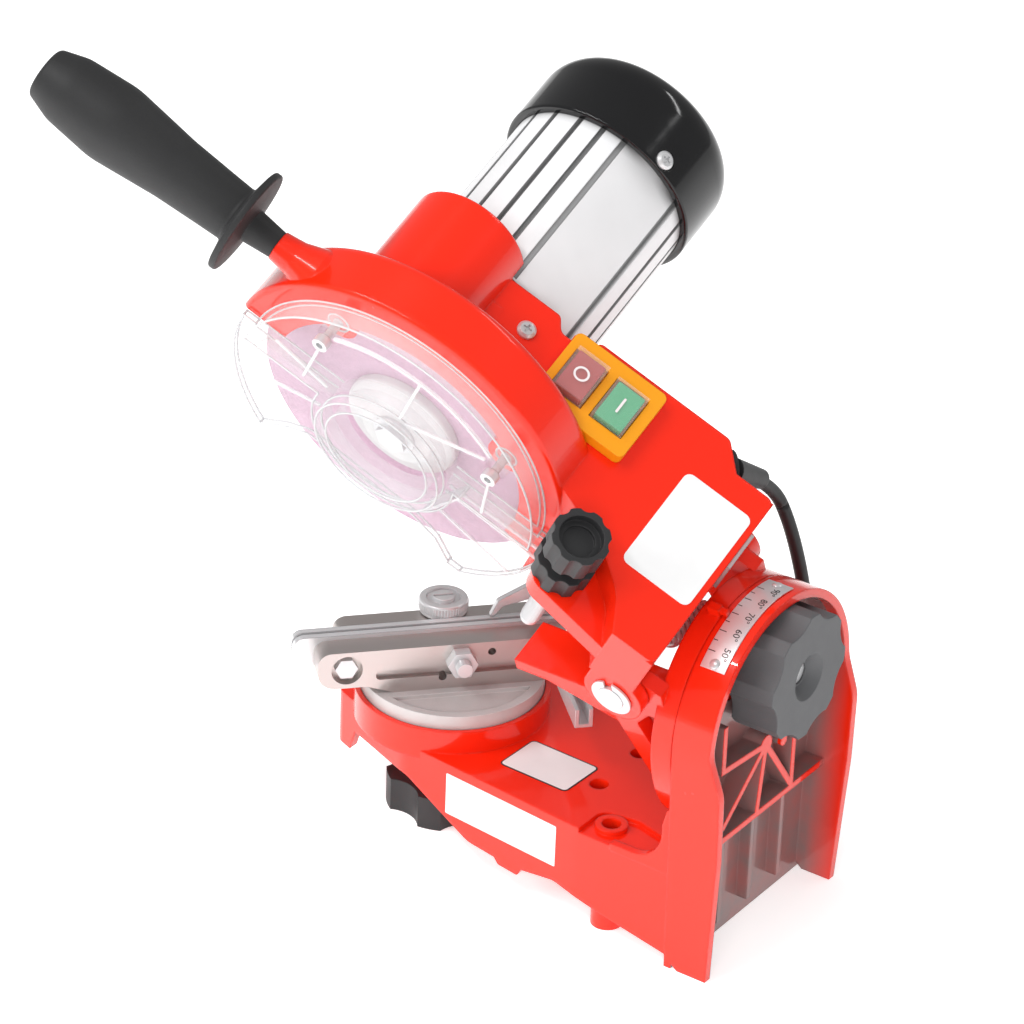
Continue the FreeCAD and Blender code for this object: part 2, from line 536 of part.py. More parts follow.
node(cut("tilt_lock_knob",
         fuse("tilt_knob_solid",
              lobed("tilt_knob", LOCK, knob_place, "x", S.arch_radius - S.slot_radius - S.knob_clear,
                    S.knob_face - S.knob_rear, 8, 16, 3.2),
              cyl("tilt_knob_hub", LOCK, (44, 0, S.slot_radius), "x", 9, 5)),
         cyl("tilt_knob_bore", LOCK, (40, 0, S.slot_radius), "x", S.lock_bolt_radius + 0.05, 50),
         cone("tilt_knob_recess", LOCK, (S.knob_face - 5, 0, S.slot_radius), ALONG["x"], 6, 11, 5.01)))
node(cyl("hinge_pin", PIN, (0, -S.pin_half, 0), "y", S.pin_radius, 2 * S.pin_half))
for side, start in (("near", -49.6), ("far", 48.6)):
    node(cut(f"pin_clip_{side}", cyl("clip_round", PIN, (0, start, 0), "y", 9.5, 1),
             cyl("clip_bore", PIN, (0, start - 1, 0), "y", S.pin_radius + 0.01, 4),
             box("clip_gap", PIN, (-2, start - 1, 0), (2, start + 3, 12))))

SPRING_RADIUS, SPRING_WIRE, SPRING_PITCH = 8.2, 1.4, 3.4


def spring_point(turn):
    angle = 2 * math.pi * turn
    return PIN.multVec(Vector(SPRING_RADIUS * math.cos(angle), -12 + SPRING_PITCH * turn,
                              SPRING_RADIUS * math.sin(angle)))


node(winding("return_spring", spring_point, 7, SPRING_WIRE))

# arm casting: wheel drum, motor collar, switch panel, ledge, ears, handle boss
WHEEL = ARM.multiply(Placement(Vector(S.wheel_x.value, 0, 0), Rotation()))
GLAND_AT = Vector(-19.5, 54.15, 32)
GLAND_WAY = Vector(0.45, 0.60, -0.66).normalize()
BOOT = ARM.multiply(Placement(GLAND_AT, Rotation(Z, GLAND_WAY)))
SPIGOT = ARM.multiply(Placement(GLAND_AT, Rotation(X, Vector(0.728, 0.685, 0))))
drum_length = S.drum_back - S.drum_front
panel = [(-142, 12), (-104, 12), (-72, -5.5, 10), (-64.5, -9), (-52, -13.5, 15), (-37, -21, 20),
         (-24, -31.5, 20),
         (-15, -S.ear_outer),
         (S.panel_end, -S.ear_outer, 4), (S.panel_end, S.ear_outer, 4), (-14, S.ear_outer),
         (-25, S.panel_far, 4),
         (-93, S.panel_far, 3), (-96, S.slab_far - 6.5, 2), (-109, S.slab_far - 6.5, 4),
         (-113.5, S.slab_far, 3),
         (-142, S.slab_far)]
panel_hollow = [(-82, 19), (-53, 19), (-53, -9), (-36, -13), (-20, -33), (-14, -S.ear_inner),
                (S.panel_end - 3.5, -S.ear_inner), (S.panel_end - 3.5, S.ear_inner), (-16, S.ear_inner),
                (-27, S.panel_far - 4), (-82, S.panel_far - 4)]
ledge = [(-58.5, -9), (-58.5, -42, 9), (-15, -S.ear_outer + 0.3), (-12, -S.ear_inner), (-22, -29),
         (-38.5, -17)]
ledge_hollow = [(-55, -14), (-55, -38.5, 6), (-18, 4 - S.ear_outer), (-25, -34), (-38.5, -23)]
guard_screws = [(-43.5, 46.5), (45.5, 40.5)]
LOBE = WHEEL.multiply(Placement(Vector(S.lobe_x.value, 0, S.lobe_n.value), Rotation()))
FLAT_ANGLE = 26.5
CAP_SCREW = WHEEL.multiply(Placement(Vector(), Rotation(Y, FLAT_ANGLE - 2)))
CAP_SCREW_V = S.cap_front + 5.5
COLLAR_SCREW = (-121, 43)
body_start = S.panel_far + 0.4
arm_solid = fuse(
    "arm_solid",
    cut("panel_shell", prism("panel_outer", ARM, "xy", S.panel_floor, panel, S.panel_top - S.panel_floor),
        prism("panel_hollow", ARM, "xy", S.panel_floor - 2, panel_hollow, S.panel_top - S.panel_floor - 2)),
    lathe("drum", WHEEL, (0, 0, 0), "y", [(0, S.drum_front), (S.drum_radius, S.drum_front, 2.5),
                                          (S.drum_radius, S.drum_back, 5), (0, S.drum_back)]),
    cyl("collar", WHEEL, (0, S.drum_back - 1, 0), "y", S.collar_radius, S.collar_end - S.drum_back + 1),
    lathe("lobe", LOBE, (0, 0, 0), "y", [(0, S.drum_back - 1), (S.lobe_radius - 5, S.drum_back - 1),
                                         (S.lobe_radius - 5, S.drum_back + 2.5),
                                         (S.lobe_radius, S.drum_back + 4, 4),
                                         (S.lobe_radius, S.lobe_end, 2), (0, S.lobe_end)]),
    box("collar_web", ARM, (-104, 20, 4), (-88, S.panel_far - 2, S.panel_top - 4)),
    cut("ledge_shell", prism("ledge", ARM, "xy", S.ledge_floor, ledge, S.ledge_top - S.ledge_floor),
        prism("ledge_hollow", ARM, "xy", S.ledge_floor - 1, ledge_hollow, S.ledge_top - S.ledge_floor - 4)),
    cyl("ledge_boss", ARM, (S.depth_x, S.depth_v, S.ledge_floor), "z", S.rod_radius + 4.5,
        S.ledge_top - S.ledge_floor),
    box("ear_near", ARM, (-14, -S.ear_outer, 0), (S.panel_end, -S.ear_inner, S.panel_top - 2)),
    box("ear_far", ARM, (-14, S.ear_inner, 0), (S.panel_end, S.ear_outer, S.panel_top - 2)),
    cyl("ear_near_round", ARM, (0, -S.ear_outer, 0), "y", S.ear_radius, S.ear_outer - S.ear_inner),
    cyl("ear_far_round", ARM, (0, S.ear_inner, 0), "y", S.ear_radius, S.ear_outer - S.ear_inner),
    lathe("handle_boss", ARM, (S.handle_start, S.handle_v, S.handle_n), "x",
          [(0, 0), (6.8, 0), (8, 9), (12, 20), (12, 26), (0, 26)]))
lugs = [cyl("guard_lug", WHEEL, (x, S.drum_front, z), "y", 9, 6.5) for x, z in guard_screws]
arm_cuts = [
    cyl("drum_hollow", WHEEL, (0, S.drum_front + 4, 0), "y", S.drum_radius - S.drum_wall, drum_length - 8),
    cyl("drum_window", WHEEL, (0, S.drum_front - 1, 0), "y", S.window_radius, 8),
    cyl("shaft_bore", WHEEL, (0, 0, 0), "y", 20, 20),
    cyl("spigot_bore", WHEEL, (0, S.motor_front - 0.05, 0), "y", S.spigot_radius + 0.05, 80),
    cyl("motor_bore", WHEEL, (0, body_start - 0.3, 0), "y", S.motor_radius + 0.3, 60),
    prism("drum_mouth", WHEEL, "xz", S.drum_back + 1,
          [(-100, -100), (76, -100), (76, -16), (0, 7), (-100, 10)], drum_length + 2),
    cyl("ear_bore", ARM, (0, -60, 0), "y", S.pin_radius + 0.08, 120),
    cyl("spring_room", ARM, (0, -S.ear_inner, 0), "y", 15, 2 * S.ear_inner),
    cyl("handle_bore", ARM, (S.handle_start - 1, S.handle_v, S.handle_n), "x", 4.02, 18),
    cyl("collar_hole", ARM, (*COLLAR_SCREW, S.panel_top - 6), "z", 2.02, 10),
    cyl("depth_bore", ARM, (S.depth_x, S.depth_v, 0), "z", S.rod_radius + 0.08, S.ledge_top + 10),
    cyl("cord_hole", SPIGOT, (-10, 0, 0), "x", S.cord_radius + 2, 12)]
arm_holes = [cyl("guard_hole", WHEEL, (x, S.drum_front - 1, z), "y", 2.02, 9) for x, z in guard_screws]
node(cut("arm_casting", fuse("arm_with_lugs", cut("arm_bored", arm_solid, *arm_cuts), *lugs), *arm_holes))

# motor: a finned extrusion with two flats, on a spigot in the collar
cavity = S.spigot_radius - 5
core = cavity + 2
cap_bore = S.cap_radius - S.cap_wall
cap_seat = cap_bore - 0.05
shoulder = S.cap_front - 0.02
housing = [(16.02, S.motor_front), (S.spigot_radius, S.motor_front), (S.spigot_radius, body_start),
           (S.motor_radius, body_start, 1), (S.motor_radius, shoulder), (core, shoulder),
           (core, S.motor_end), (16.02, S.motor_end),
           (16.02, S.motor_end - 12), (cavity, S.motor_end - 12), (cavity, S.motor_front + 12),
           (16.02, S.motor_front + 12)]
grooves = []
for side in (0, 180):
    flat = WHEEL.multiply(Placement(Vector(), Rotation(Y, FLAT_ANGLE + side)))
    grooves.append(box("motor_side", flat, (-40, body_start - 0.1, S.motor_flat), (40, S.motor_end + 1, 60)))
    for angle in (-90, -72.5, -54.5, -39.5, -25.5, 25.5, 39.5, 54.5, 72.5):
        spin = WHEEL.multiply(Placement(Vector(), Rotation(Y, FLAT_ANGLE + side + angle)))
        grooves.append(box("groove", spin, (-1.3, body_start + 1, S.motor_radius - 2.8),
                           (1.3, S.motor_end + 1, 60)))
housing_seat = [(core - 1, shoulder), (cap_seat, shoulder), (cap_seat, S.motor_end), (core - 1, S.motor_end)]
node(cut("motor_housing",
         fuse("housing_turned", lathe("housing_round", WHEEL, (0, 0, 0), "y", housing),
              lathe("housing_seat", WHEEL, (0, 0, 0), "y", housing_seat)), *grooves))
node(cut("motor_end_cap", lathe("cap_shell", WHEEL, (0, 0, 0), "y",
           [(cap_bore, S.cap_front), (S.cap_radius, S.cap_front, 1.5), (S.cap_radius, S.cap_end, 16),
            (0, S.cap_end), (0, S.cap_end - 3), (S.cap_radius - 3, S.cap_end - 3, 13),
            (S.cap_radius - 3, S.motor_end + 0.5), (cap_bore, S.motor_end + 0.5)]),
         cyl("cap_face", CAP_SCREW, (0, CAP_SCREW_V, S.cap_radius - 0.8), "z", 4.8, 8),
         cyl("cap_hole", CAP_SCREW, (0, CAP_SCREW_V, S.cap_radius - 8), "z", 2.02, 12)))
node(lathe("stator", WHEEL, (0, 0, 0), "y", [(25, 60), (cavity - 0.02, 60), (cavity - 0.02, 124), (25, 124)]))
for side, start in (("front", S.motor_front + 0.5), ("rear", S.motor_end - 11.5)):
    node(lathe(f"{side}_bearing", WHEEL, (0, start, 0), "y", [(8.02, 0), (16, 0), (16, 11), (8.02, 11)]))
for screw, frame, place, reach in (
        ("cap_screw", CAP_SCREW, (0, CAP_SCREW_V, S.cap_radius - 0.78), 2.2),
        ("collar_screw", ARM, (*COLLAR_SCREW, S.panel_top + 0.02), 5)):
    shank = (place[0], place[1], place[2] - reach)
    node(cut(screw, fuse("screw_solid", lathe("screw_dome", frame, place, "z",
                                              [(0, 0), (4.2, 0), (4.2, 1.2), (3, 2.4), (0, 2.4)]),
                         cyl("screw_stem", frame, shank, "z", 2, reach + 0.5)),
             box("screw_cross_a", frame, (place[0] - 2, place[1] - 0.5, place[2] + 1.4),
                 (place[0] + 2, place[1] + 0.5, place[2] + 4)),
             box("screw_cross_b", frame, (place[0] - 0.5, place[1] - 2, place[2] + 1.4),
                 (place[0] + 0.5, place[1] + 2, place[2] + 4))))

# rotor: shaft, core, fan, wheel between its flanges
node(cut("motor_shaft", cyl("shaft_bar", WHEEL, (0, -8, 0), "y", S.shaft_radius, S.motor_end + 22),
         cyl("shaft_thread", WHEEL, (0, -9, 0), "y", 4.02, 22)))
node(lathe("rotor_core", WHEEL, (0, 0, 0), "y", [(8.02, 62), (24.4, 62), (24.4, 122), (8.02, 122)]))
fan_start = S.motor_end + 2
blades = [box("blade", WHEEL.multiply(Placement(Vector(), Rotation(Y, 45 * i))), (-0.8, fan_start + 2, 12),
              (0.8, fan_start + 10, 34)) for i in range(8)]
node(fuse("cooling_fan", lathe("fan_disc", WHEEL, (0, 0, 0), "y",
                               [(8.02, fan_start), (34, fan_start), (34, fan_start + 2.5),
                                (14, fan_start + 2.5),
                                (14, fan_start + 11), (8.02, fan_start + 11)]), *blades))
node(lathe("grinding_wheel", WHEEL, (0, 0, 0), "y",
           [(8.04, -S.wheel_half), (S.wheel_radius - 1, -S.wheel_half), (S.wheel_radius, 0),
            (S.wheel_radius - 1, S.wheel_half), (8.04, S.wheel_half)]))
node(lathe("inner_flange", WHEEL, (0, 0, 0), "y", [(8.02, S.wheel_half + 0.02),
                                                   (S.flange_radius, S.wheel_half + 0.02),
                                                   (S.flange_radius - 4, 9), (8.02, 9)]))
node(lathe("outer_flange", WHEEL, (0, 0, 0), "y",
           [(8.02, -10), (17, -10), (S.flange_radius, -6, 2), (S.flange_radius, -S.wheel_half - 0.02),
            (8.02, -S.wheel_half - 0.02)]))
node(fuse("wheel_bolt", hexagon("wheel_bolt_head", WHEEL, (0, -14.5, 0), "y", 13, 3.2),
          cyl("wheel_bolt_washer", WHEEL, (0, -11.5, 0), "y", 10, 1.48),
          cyl("wheel_bolt_shank", WHEEL, (0, -12, 0), "y", 4, 22)))

# clear guard and its screws
guard_front, guard_back = S.guard_front, S.drum_front - 0.02
mouth = [(-54, -90), (47.5, -90), (47.5, -59.8), (38, -50), (24, -45, 8), (-33, -42.6, 8), (-43.5, -50),
         (-54, -61)]
plateau = [cut("plateau_outer", cyl("plateau_disc", WHEEL, (0, guard_front, 0), "y", S.guard_radius,
                                    guard_back - guard_front),
               box("plateau_below", WHEEL, (-90, -40, -90), (90, 0, 6))),
           cut("plateau_inner", cyl("plateau_room", WHEEL, (0, guard_front + S.guard_wall, 0), "y",
                                    S.guard_radius - S.guard_wall, 20),
               box("room_below", WHEEL, (-90, -40, -90), (90, 10, S.guard_wall + 6)))]
wings = cut("wings", cyl("wing_disc", WHEEL, (0, guard_back - S.guard_wall, 0), "y", S.wing_radius,
                         S.guard_wall),
            box("wing_above", WHEEL, (-90, -40, 8), (90, 0, 90)),
            prism("guard_mouth", WHEEL, "xz", 0, mouth, 40),
            box("wing_below", WHEEL, (-90, -40, -90), (90, 0, -61)))
bosses = [cyl("guard_post", WHEEL, (x, guard_front + 1, z), "y", 5, guard_back - guard_front - 1)
          for x, z in guard_screws]
node(cut("wheel_guard",
         fuse("guard_solid", cut("plateau", *plateau), wings, *bosses,
              cyl("ring_base", WHEEL, (0, guard_front, 0), "y", S.ring_radius + 5, S.guard_wall),
              cyl("ring_step", WHEEL, (0, guard_front, 0), "y", S.ring_radius, guard_back - guard_front),
              cyl("ring", WHEEL, (0, guard_front - 5, 0), "y", S.ring_radius, 7)),
         cyl("ring_hole", WHEEL, (0, -40, 0), "y", S.ring_bore, 40),
         *[cyl("guard_screw_hole", WHEEL, (x, -40, z), "y", 2.1, 40) for x, z in guard_screws]))
for side, (x, z) in zip(("left", "right"), guard_screws):
    node(cut(f"guard_screw_{side}",
             fuse("guard_screw_solid", cyl("screw_head", WHEEL, (x, guard_front - 4, z), "y", 3.6, 3.98),
                  cyl("screw_shank", WHEEL, (x, guard_front - 1, z), "y", 2, 17)),
             hexagon("screw_socket", WHEEL, (x, guard_front - 5, z), "y", 3.2, 3)))

# handle
grip = [(4.05, 0), (6.2, 0), (7.7, 14), (S.disc_radius, 15.5, 1), (S.disc_radius, 18.5, 1), (12.6, 21, 2),
        (13, 30, 20), (14.3, 54, 60), (17.8, 86, 40), (15.6, 110, 20), (11.4, 122.5, 3), (0, 122.5), (0, 34),
        (4.05, 34)]
node(lathe("handle_grip", ARM, (S.handle_start - 0.02, S.handle_v, S.handle_n), "-x", grip))
node(cyl("handle_stud", ARM, (S.handle_start - 33, S.handle_v, S.handle_n), "x", 4, 49))

# switch on the panel, with sprung buttons
buttons = {"stop_button": (-90.7, 36, 4.5), "start_button": (-69.7, 36, 3)}
node(cut("switch_housing",
         prism("switch_blank", ARM, "xy", S.panel_top + 0.02,
               [(-103, 17, 3), (-56, 17, 3), (-56, 55, 3), (-103, 55, 3)], 6),
         *[box("button_well", ARM, (x - 8.4, y - 11.4, S.panel_top + 1.5), (x + 8.4, y + 11.4, 60))
           for x, y, _ in buttons.values()]))
for name, (x, y, rise) in buttons.items():
    node(box(name, ARM, (x - 8, y - 11, S.panel_top + 3.5), (x + 8, y + 11, S.panel_top + 6 + rise)))

# depth stop on the ledge
nut_top = S.ledge_top + 12
node(cyl("depth_rod", ARM, (S.depth_x, S.depth_v, S.rod_tip), "z", S.rod_radius, nut_top + 13 - S.rod_tip))
node(cut("depth_knob",
         fuse("depth_knob_solid",
              lobed("depth_knob", ARM, (S.depth_x, S.depth_v, nut_top + 7), "z", 12.8, 14, 8, 4.6, 1.2),
              cyl("depth_stem", ARM, (S.depth_x, S.depth_v, nut_top + 4), "z", 9.5, 5)),
         cyl("depth_knob_bore", ARM, (S.depth_x, S.depth_v, nut_top), "z", S.rod_radius + 0.02, 13.05),
         cyl("depth_knob_cup", ARM, (S.depth_x, S.depth_v, nut_top + 16.5), "z", 9.6, 5),
         cyl("depth_knob_well", ARM, (S.depth_x, S.depth_v, nut_top + 15), "z", 7, 5)))
node(cut("depth_lock_nut",
         lobed("depth_nut", ARM, (S.depth_x, S.depth_v, S.ledge_top + 0.4), "z", 12.9, 11.6, 8, 4.6, 1.4),
         cyl("depth_nut_bore", ARM, (S.depth_x, S.depth_v, 0), "z", S.rod_radius + 0.08, 60)))

# bare plate places
node(prism("nameplate", ARM, "xy", S.panel_top + 0.02, [(-31, -18, 1), (3, -18, 1), (3, 35, 1),
                                                        (-31, 35, 1)], 0.5))
node(box("hinge_plate", ARM, (S.panel_end + 0.02, 14, 16), (S.panel_end + 1.6, 34, 36)))

# cord gland, cord, coil and plug
node(cut("cord_gland",
         fuse("gland_solid", cyl("gland_flange", SPIGOT, (0.02, 0, 0), "x", 8, 3.5),
              cone("gland_boot", BOOT, (0, 0, 5.5), Rotation(), 6, 4.4, 26)),
         cyl("gland_bore", BOOT, (0, 0, 12), "z", S.cord_radius + 0.1, 40)))
boot_start, boot_way = BOOT.multVec(Vector(0, 0, 14)), BOOT.Rotation.multVec(Z)
COIL_Z = S.cord_radius.value + 0.2
coil_start = Vector(S.coil_x.value, S.coil_y.value - S.coil_outer.value, COIL_Z)
ROUTE = [(20, 62, 160), (27, 66, 128), (31, 69, 92), (31, 71, 56), (27, 71, 28), (12, 70, 8.5)]
route = [boot_start, boot_start + boot_way * 28] + [Vector(*point) for point in ROUTE]
node(cord("power_cord", route + [coil_start + X * 20, coil_start], S.cord_radius.value))

LAYER_RISE, LAYER_TURNS, CLIMB_TURNS = 6.8, 3, 0.5
COIL_TURNS = 6.25


def coil_point(turn):
    """Spiral in on the ground, climb half a turn, spiral out on top."""
    span = S.coil_outer.value - S.coil_inner.value
    climbed = min(max((turn - LAYER_TURNS) / CLIMB_TURNS, 0), 1)
    inward = min(turn, LAYER_TURNS) / LAYER_TURNS
    outward = max(turn - LAYER_TURNS - CLIMB_TURNS, 0) / LAYER_TURNS
    radius = S.coil_outer.value - span * (inward - outward)
    angle = -math.pi / 2 - 2 * math.pi * turn
    return Vector(S.coil_x.value + radius * math.cos(angle), S.coil_y.value + radius * math.sin(angle),
                  COIL_Z + LAYER_RISE * climbed)


node(winding("cord_coil", coil_point, COIL_TURNS, S.cord_radius.value, (18,)))
coil_end = coil_point(COIL_TURNS)
PLUG = Placement(coil_end + Vector(0, 18.2, 0), Rotation())
plug_pins = [cyl("plug_pin", PLUG, (x, 41, 0), "y", 2.2, 19) for x in (-9, 9)]
node(fuse("plug", lathe("plug_body", PLUG, (0, 0, 0), "y",
                        [(0, 0), (4.2, 0), (5, 22, 4), (9.4, 26, 4), (9.4, 40, 3), (0, 40)]),
          prism("plug_face", PLUG, "xz", 42, [(-14, -8, 4), (14, -8, 4), (14, 8, 4), (-14, 8, 4)], 14),
          *plug_pins))

doc.recompute()
os.makedirs("parts", exist_ok=True)
for obj in doc.Objects:
    if {"Invalid", "Error"} & set(obj.State):
        raise RuntimeError(f"{obj.Label} did not recompute")
    if obj.TypeId == "Part::Cut" and obj.Shape.Volume > obj.Base.Shape.Volume - 0.01:
        raise RuntimeError(f"{obj.Label} lost nothing")
for obj in NODES:
    if obj.Shape.isNull() or not obj.Shape.isValid():
        raise RuntimeError(f"{obj.Label} has no valid shape")
for obj in NODES:
    print(f"{obj.Label}: {len(obj.Shape.Solids)} solid, {obj.Shape.Volume / 1000:.2f} cm3")
    obj.Shape.exportStep(f"parts/{obj.Label}.step")
print(len(NODES), "nodes")
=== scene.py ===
"""Looks of a bench chain grinder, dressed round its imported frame."""
import logging
import math
from dataclasses import dataclass
from enum import Enum
from typing import Any, Iterable, Optional, Sequence, Union

import bmesh
import bpy
from mathutils import Matrix, Vector


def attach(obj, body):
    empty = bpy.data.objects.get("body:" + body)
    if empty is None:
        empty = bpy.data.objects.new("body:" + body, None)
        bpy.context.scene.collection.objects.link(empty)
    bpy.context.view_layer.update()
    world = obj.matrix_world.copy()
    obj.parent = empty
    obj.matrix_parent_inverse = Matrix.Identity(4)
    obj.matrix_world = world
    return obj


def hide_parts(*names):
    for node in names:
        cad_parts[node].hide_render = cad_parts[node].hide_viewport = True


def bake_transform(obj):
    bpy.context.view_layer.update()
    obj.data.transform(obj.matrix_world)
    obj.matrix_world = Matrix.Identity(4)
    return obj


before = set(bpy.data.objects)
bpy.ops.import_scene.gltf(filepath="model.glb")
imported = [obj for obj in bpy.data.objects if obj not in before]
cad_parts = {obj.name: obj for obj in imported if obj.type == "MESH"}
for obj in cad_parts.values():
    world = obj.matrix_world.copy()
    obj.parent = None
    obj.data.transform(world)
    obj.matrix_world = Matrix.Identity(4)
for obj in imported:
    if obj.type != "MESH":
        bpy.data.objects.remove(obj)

log = logging.getLogger("grinder")
Colour = tuple[float, float, float]
Point = tuple[float, float, float]
MM = 0.001


def turn(degrees: float, axis: str) -> Matrix:
    """A rotation by degrees about a named axis."""
    return Matrix.Rotation(math.radians(degrees), 4, axis)


def shift(x: float, y: float, z: float) -> Matrix:
    """A move in millimetres."""
    return Matrix.Translation(Vector((x, y, z)) * MM)


VISE = shift(-112.5, 0, 0) @ turn(47, "Z")
HEAD = shift(0, 0, 108.7) @ turn(22.45, "X")
ARM = HEAD @ shift(10.9, 0, 42.2) @ turn(30.7, "Y")
WHEEL = ARM @ shift(-140.2, 0, 0)


class Link:
    """A shader socket that can be used in Python arithmetic."""

    def __init__(self, shade: "Shade", socket: bpy.types.NodeSocket) -> None:
        """Keep the shade that owns the socket."""
        self.shade = shade
        self.socket = socket

    def maths(self, operation: str, *values: Union["Link", float]) -> "Link":
        """Add a Math node over values."""
        return self.shade.add("ShaderNodeMath", {"operation": operation}, dict(enumerate(values)))

    def __add__(self, other: Union["Link", float]) -> "Link":
        """Sum."""
        return self.maths("ADD", self, other)

    __radd__ = __add__

    def __sub__(self, other: Union["Link", float]) -> "Link":
        """Difference."""
        return self.maths("SUBTRACT", self, other)

    def __rsub__(self, other: float) -> "Link":
        """Reflected difference."""
        return self.maths("SUBTRACT", other, self)

    def __mul__(self, other: Union["Link", float]) -> "Link":
        """Product."""
        return self.maths("MULTIPLY", self, other)

    __rmul__ = __mul__

    def __truediv__(self, other: Union["Link", float]) -> "Link":
        """Quotient."""
        return self.maths("DIVIDE", self, other)

    def __pow__(self, other: Union["Link", float]) -> "Link":
        """Power."""
        return self.maths("POWER", self, other)

    def above(self, level: float) -> "Link":
        """One where the value passes level, else nought."""
        return self.maths("GREATER_THAN", self, level)

    def clear(self) -> "Link":
        """The value held between nought and one."""
        return self.shade.add("ShaderNodeClamp", {}, {"Value": self})


class Shade:
    """A node material with one Principled shader."""

    def __init__(self, name: str) -> None:
        """Start an empty tree.

        Args:
            name: the material's name.
        """
        self.material = bpy.data.materials.new(name)
        self.material.use_nodes = True
        self.tree = self.material.node_tree
        self.tree.nodes.clear()
        self.output = self.tree.nodes.new("ShaderNodeOutputMaterial")
        self.shader = self.tree.nodes.new("ShaderNodeBsdfPrincipled")
        self.tree.links.new(self.shader.outputs[0], self.output.inputs["Surface"])

    def add(self, kind: str, settings: dict[str, Any], sockets: dict[Union[str, int], Any],
            output: Union[str, int] = 0) -> Link:
        """Add a node.

        Args:
            kind: the node's type.
            settings: its properties.
            sockets: values or links by socket name or number.
            output: which output to return.

        Returns:
            The chosen output.
        """
        node = self.tree.nodes.new(kind)
        for key, value in settings.items():
            setattr(node, key, value)
        for key, value in sockets.items():
            self.feed(node.inputs[key], value)
        return Link(self, node.outputs[output])

    def feed(self, socket: bpy.types.NodeSocket, value: Any) -> None:
        """Link or set a socket."""
        if isinstance(value, Link):
            self.tree.links.new(value.socket, socket)
        elif isinstance(value, tuple) and len(value) == 3 and socket.type == "RGBA":
            socket.default_value = (*value, 1)
        else:
            socket.default_value = value

    def set(self, **values: Any) -> None:
        """Feed the Principled shader, with _ for a space in a socket's name."""
        for name, value in values.items():
            self.feed(self.shader.inputs[name.replace("_", " ")], value)

    def place(self) -> Link:
        """Object coordinates."""
        return self.add("ShaderNodeTexCoord", {}, {}, "Object")

    def noise(self, scale: float, detail: float = 3, stretch: Optional[Point] = None) -> Link:
        """Noise of scale per metre, stretched along the axes if asked."""
        place = self.place()
        if stretch:
            place = self.add("ShaderNodeMapping", {}, {"Vector": place, "Scale": stretch})
        return self.add("ShaderNodeTexNoise", {}, {"Vector": place, "Scale": scale, "Detail": detail}, "Fac")

    def mix(self, factor: Union[Link, float], first: Any, second: Any) -> Link:
        """Blend two colours."""
        return self.add("ShaderNodeMix", {"data_type": "RGBA"}, {0: factor, 6: first, 7: second}, 2)

    def rounded(self, radius: float) -> Link:
        """Normals rounded over edges, radius in millimetres."""
        return self.add("ShaderNodeBevel", {"samples": 6}, {"Radius": radius * MM})

    def edges(self, radius: float) -> Link:
        """Nought on flats, towards one on edges."""
        flat = self.add("ShaderNodeNewGeometry", {}, {}, "Normal")
        match = self.add("ShaderNodeVectorMath", {"operation": "DOT_PRODUCT"},
                         {0: self.rounded(radius), 1: flat}, "Value")
        return ((1 - match) * 3).clear()

    def bump(self, height: Link, strength: float, depth: float, radius: float = 0) -> Link:
        """A bumped normal, depth in millimetres, over rounded edges if asked."""
        sockets = {"Height": height, "Strength": strength, "Distance": depth * MM}
        if radius:
            sockets["Normal"] = self.rounded(radius)
        return self.add("ShaderNodeBump", {}, sockets)


def scaled(colour: Colour, share: float) -> Colour:
    """A colour made darker or lighter by a share."""
    return tuple(c * share for c in colour)


@dataclass(frozen=True)
class Enamel:
    """Glossy stove enamel over a casting. Noise scales are per metre."""

    name: str
    colour: Colour
    edge: float = 1.6
    clouds: float = 14
    cloud_shade: float = 0.86
    chips: float = 90
    chip_level: float = 0.62
    chip_colour: Colour = (0.9, 0.25, 0.2)
    mottle: float = 45
    skin: float = 420

    def paint(self, shade: Shade) -> Link:
        """The colour of the paint, a little cloudy, thin along the edges."""
        deep = scaled(self.colour, self.cloud_shade)
        base = shade.mix(shade.noise(self.clouds, 2), deep, self.colour)
        worn = shade.edges(0.5) * shade.noise(self.chips, 4).above(self.chip_level)
        return shade.mix(worn * 0.25, base, self.chip_colour)

    def build(self) -> bpy.types.Material:
        """Make the material."""
        shade = Shade(self.name)
        shade.set(Base_Color=self.paint(shade), Roughness=shade.noise(self.mottle, 3) * 0.10 + 0.20,
                  Normal=shade.bump(shade.noise(self.skin, 2), 0.12, 0.25, self.edge))
        shade.set(Coat_Weight=0.6, Coat_Roughness=0.03, Specular_IOR_Level=0.2)
        return shade.material


@dataclass(frozen=True)
class ColumnEnamel(Enamel):
    """Enamel that turns dark grey inside the column, behind its web. Millimetres."""

    inner_grey: Colour = (0.17, 0.145, 0.14)
    web: float = 42.02
    ribs: float = 51.2
    rear: float = 61
    fade_start: float = 4
    wall: float = 46.9
    inside: float = 52.2
    crown: float = 108.7
    arch: float = 52.4
    speckle: float = 60

    def paint(self, shade: Shade) -> Link:
        """The paint, dark grey between the ribs and on the walls towards the web."""
        red = super().paint(shade)
        split = {name: shade.add("ShaderNodeSeparateXYZ", {}, {0: shade.place()}, name) for name in "XYZ"}
        x, y, z = (split[name] / MM for name in "XYZ")
        side = y.maths("ABSOLUTE", y)
        above = (z - self.crown).maths("MAXIMUM", z - self.crown, 0.0)
        within = (self.arch - (side ** 2 + above ** 2) ** 0.5).above(0)
        room = x.above(self.web - 0.1) * (self.inside - side).above(0) * within
        on_wall = side.above(self.wall)
        fade = ((self.rear - x) / (self.rear - self.web - self.fade_start)).clear()
        between = (self.ribs - x).above(0)
        mask = room * (on_wall * fade + (1 - on_wall) * between)
        patchy = shade.noise(self.speckle, 4) * 0.5 + 0.62
        return shade.mix((mask * patchy).clear(), red, self.inner_grey)


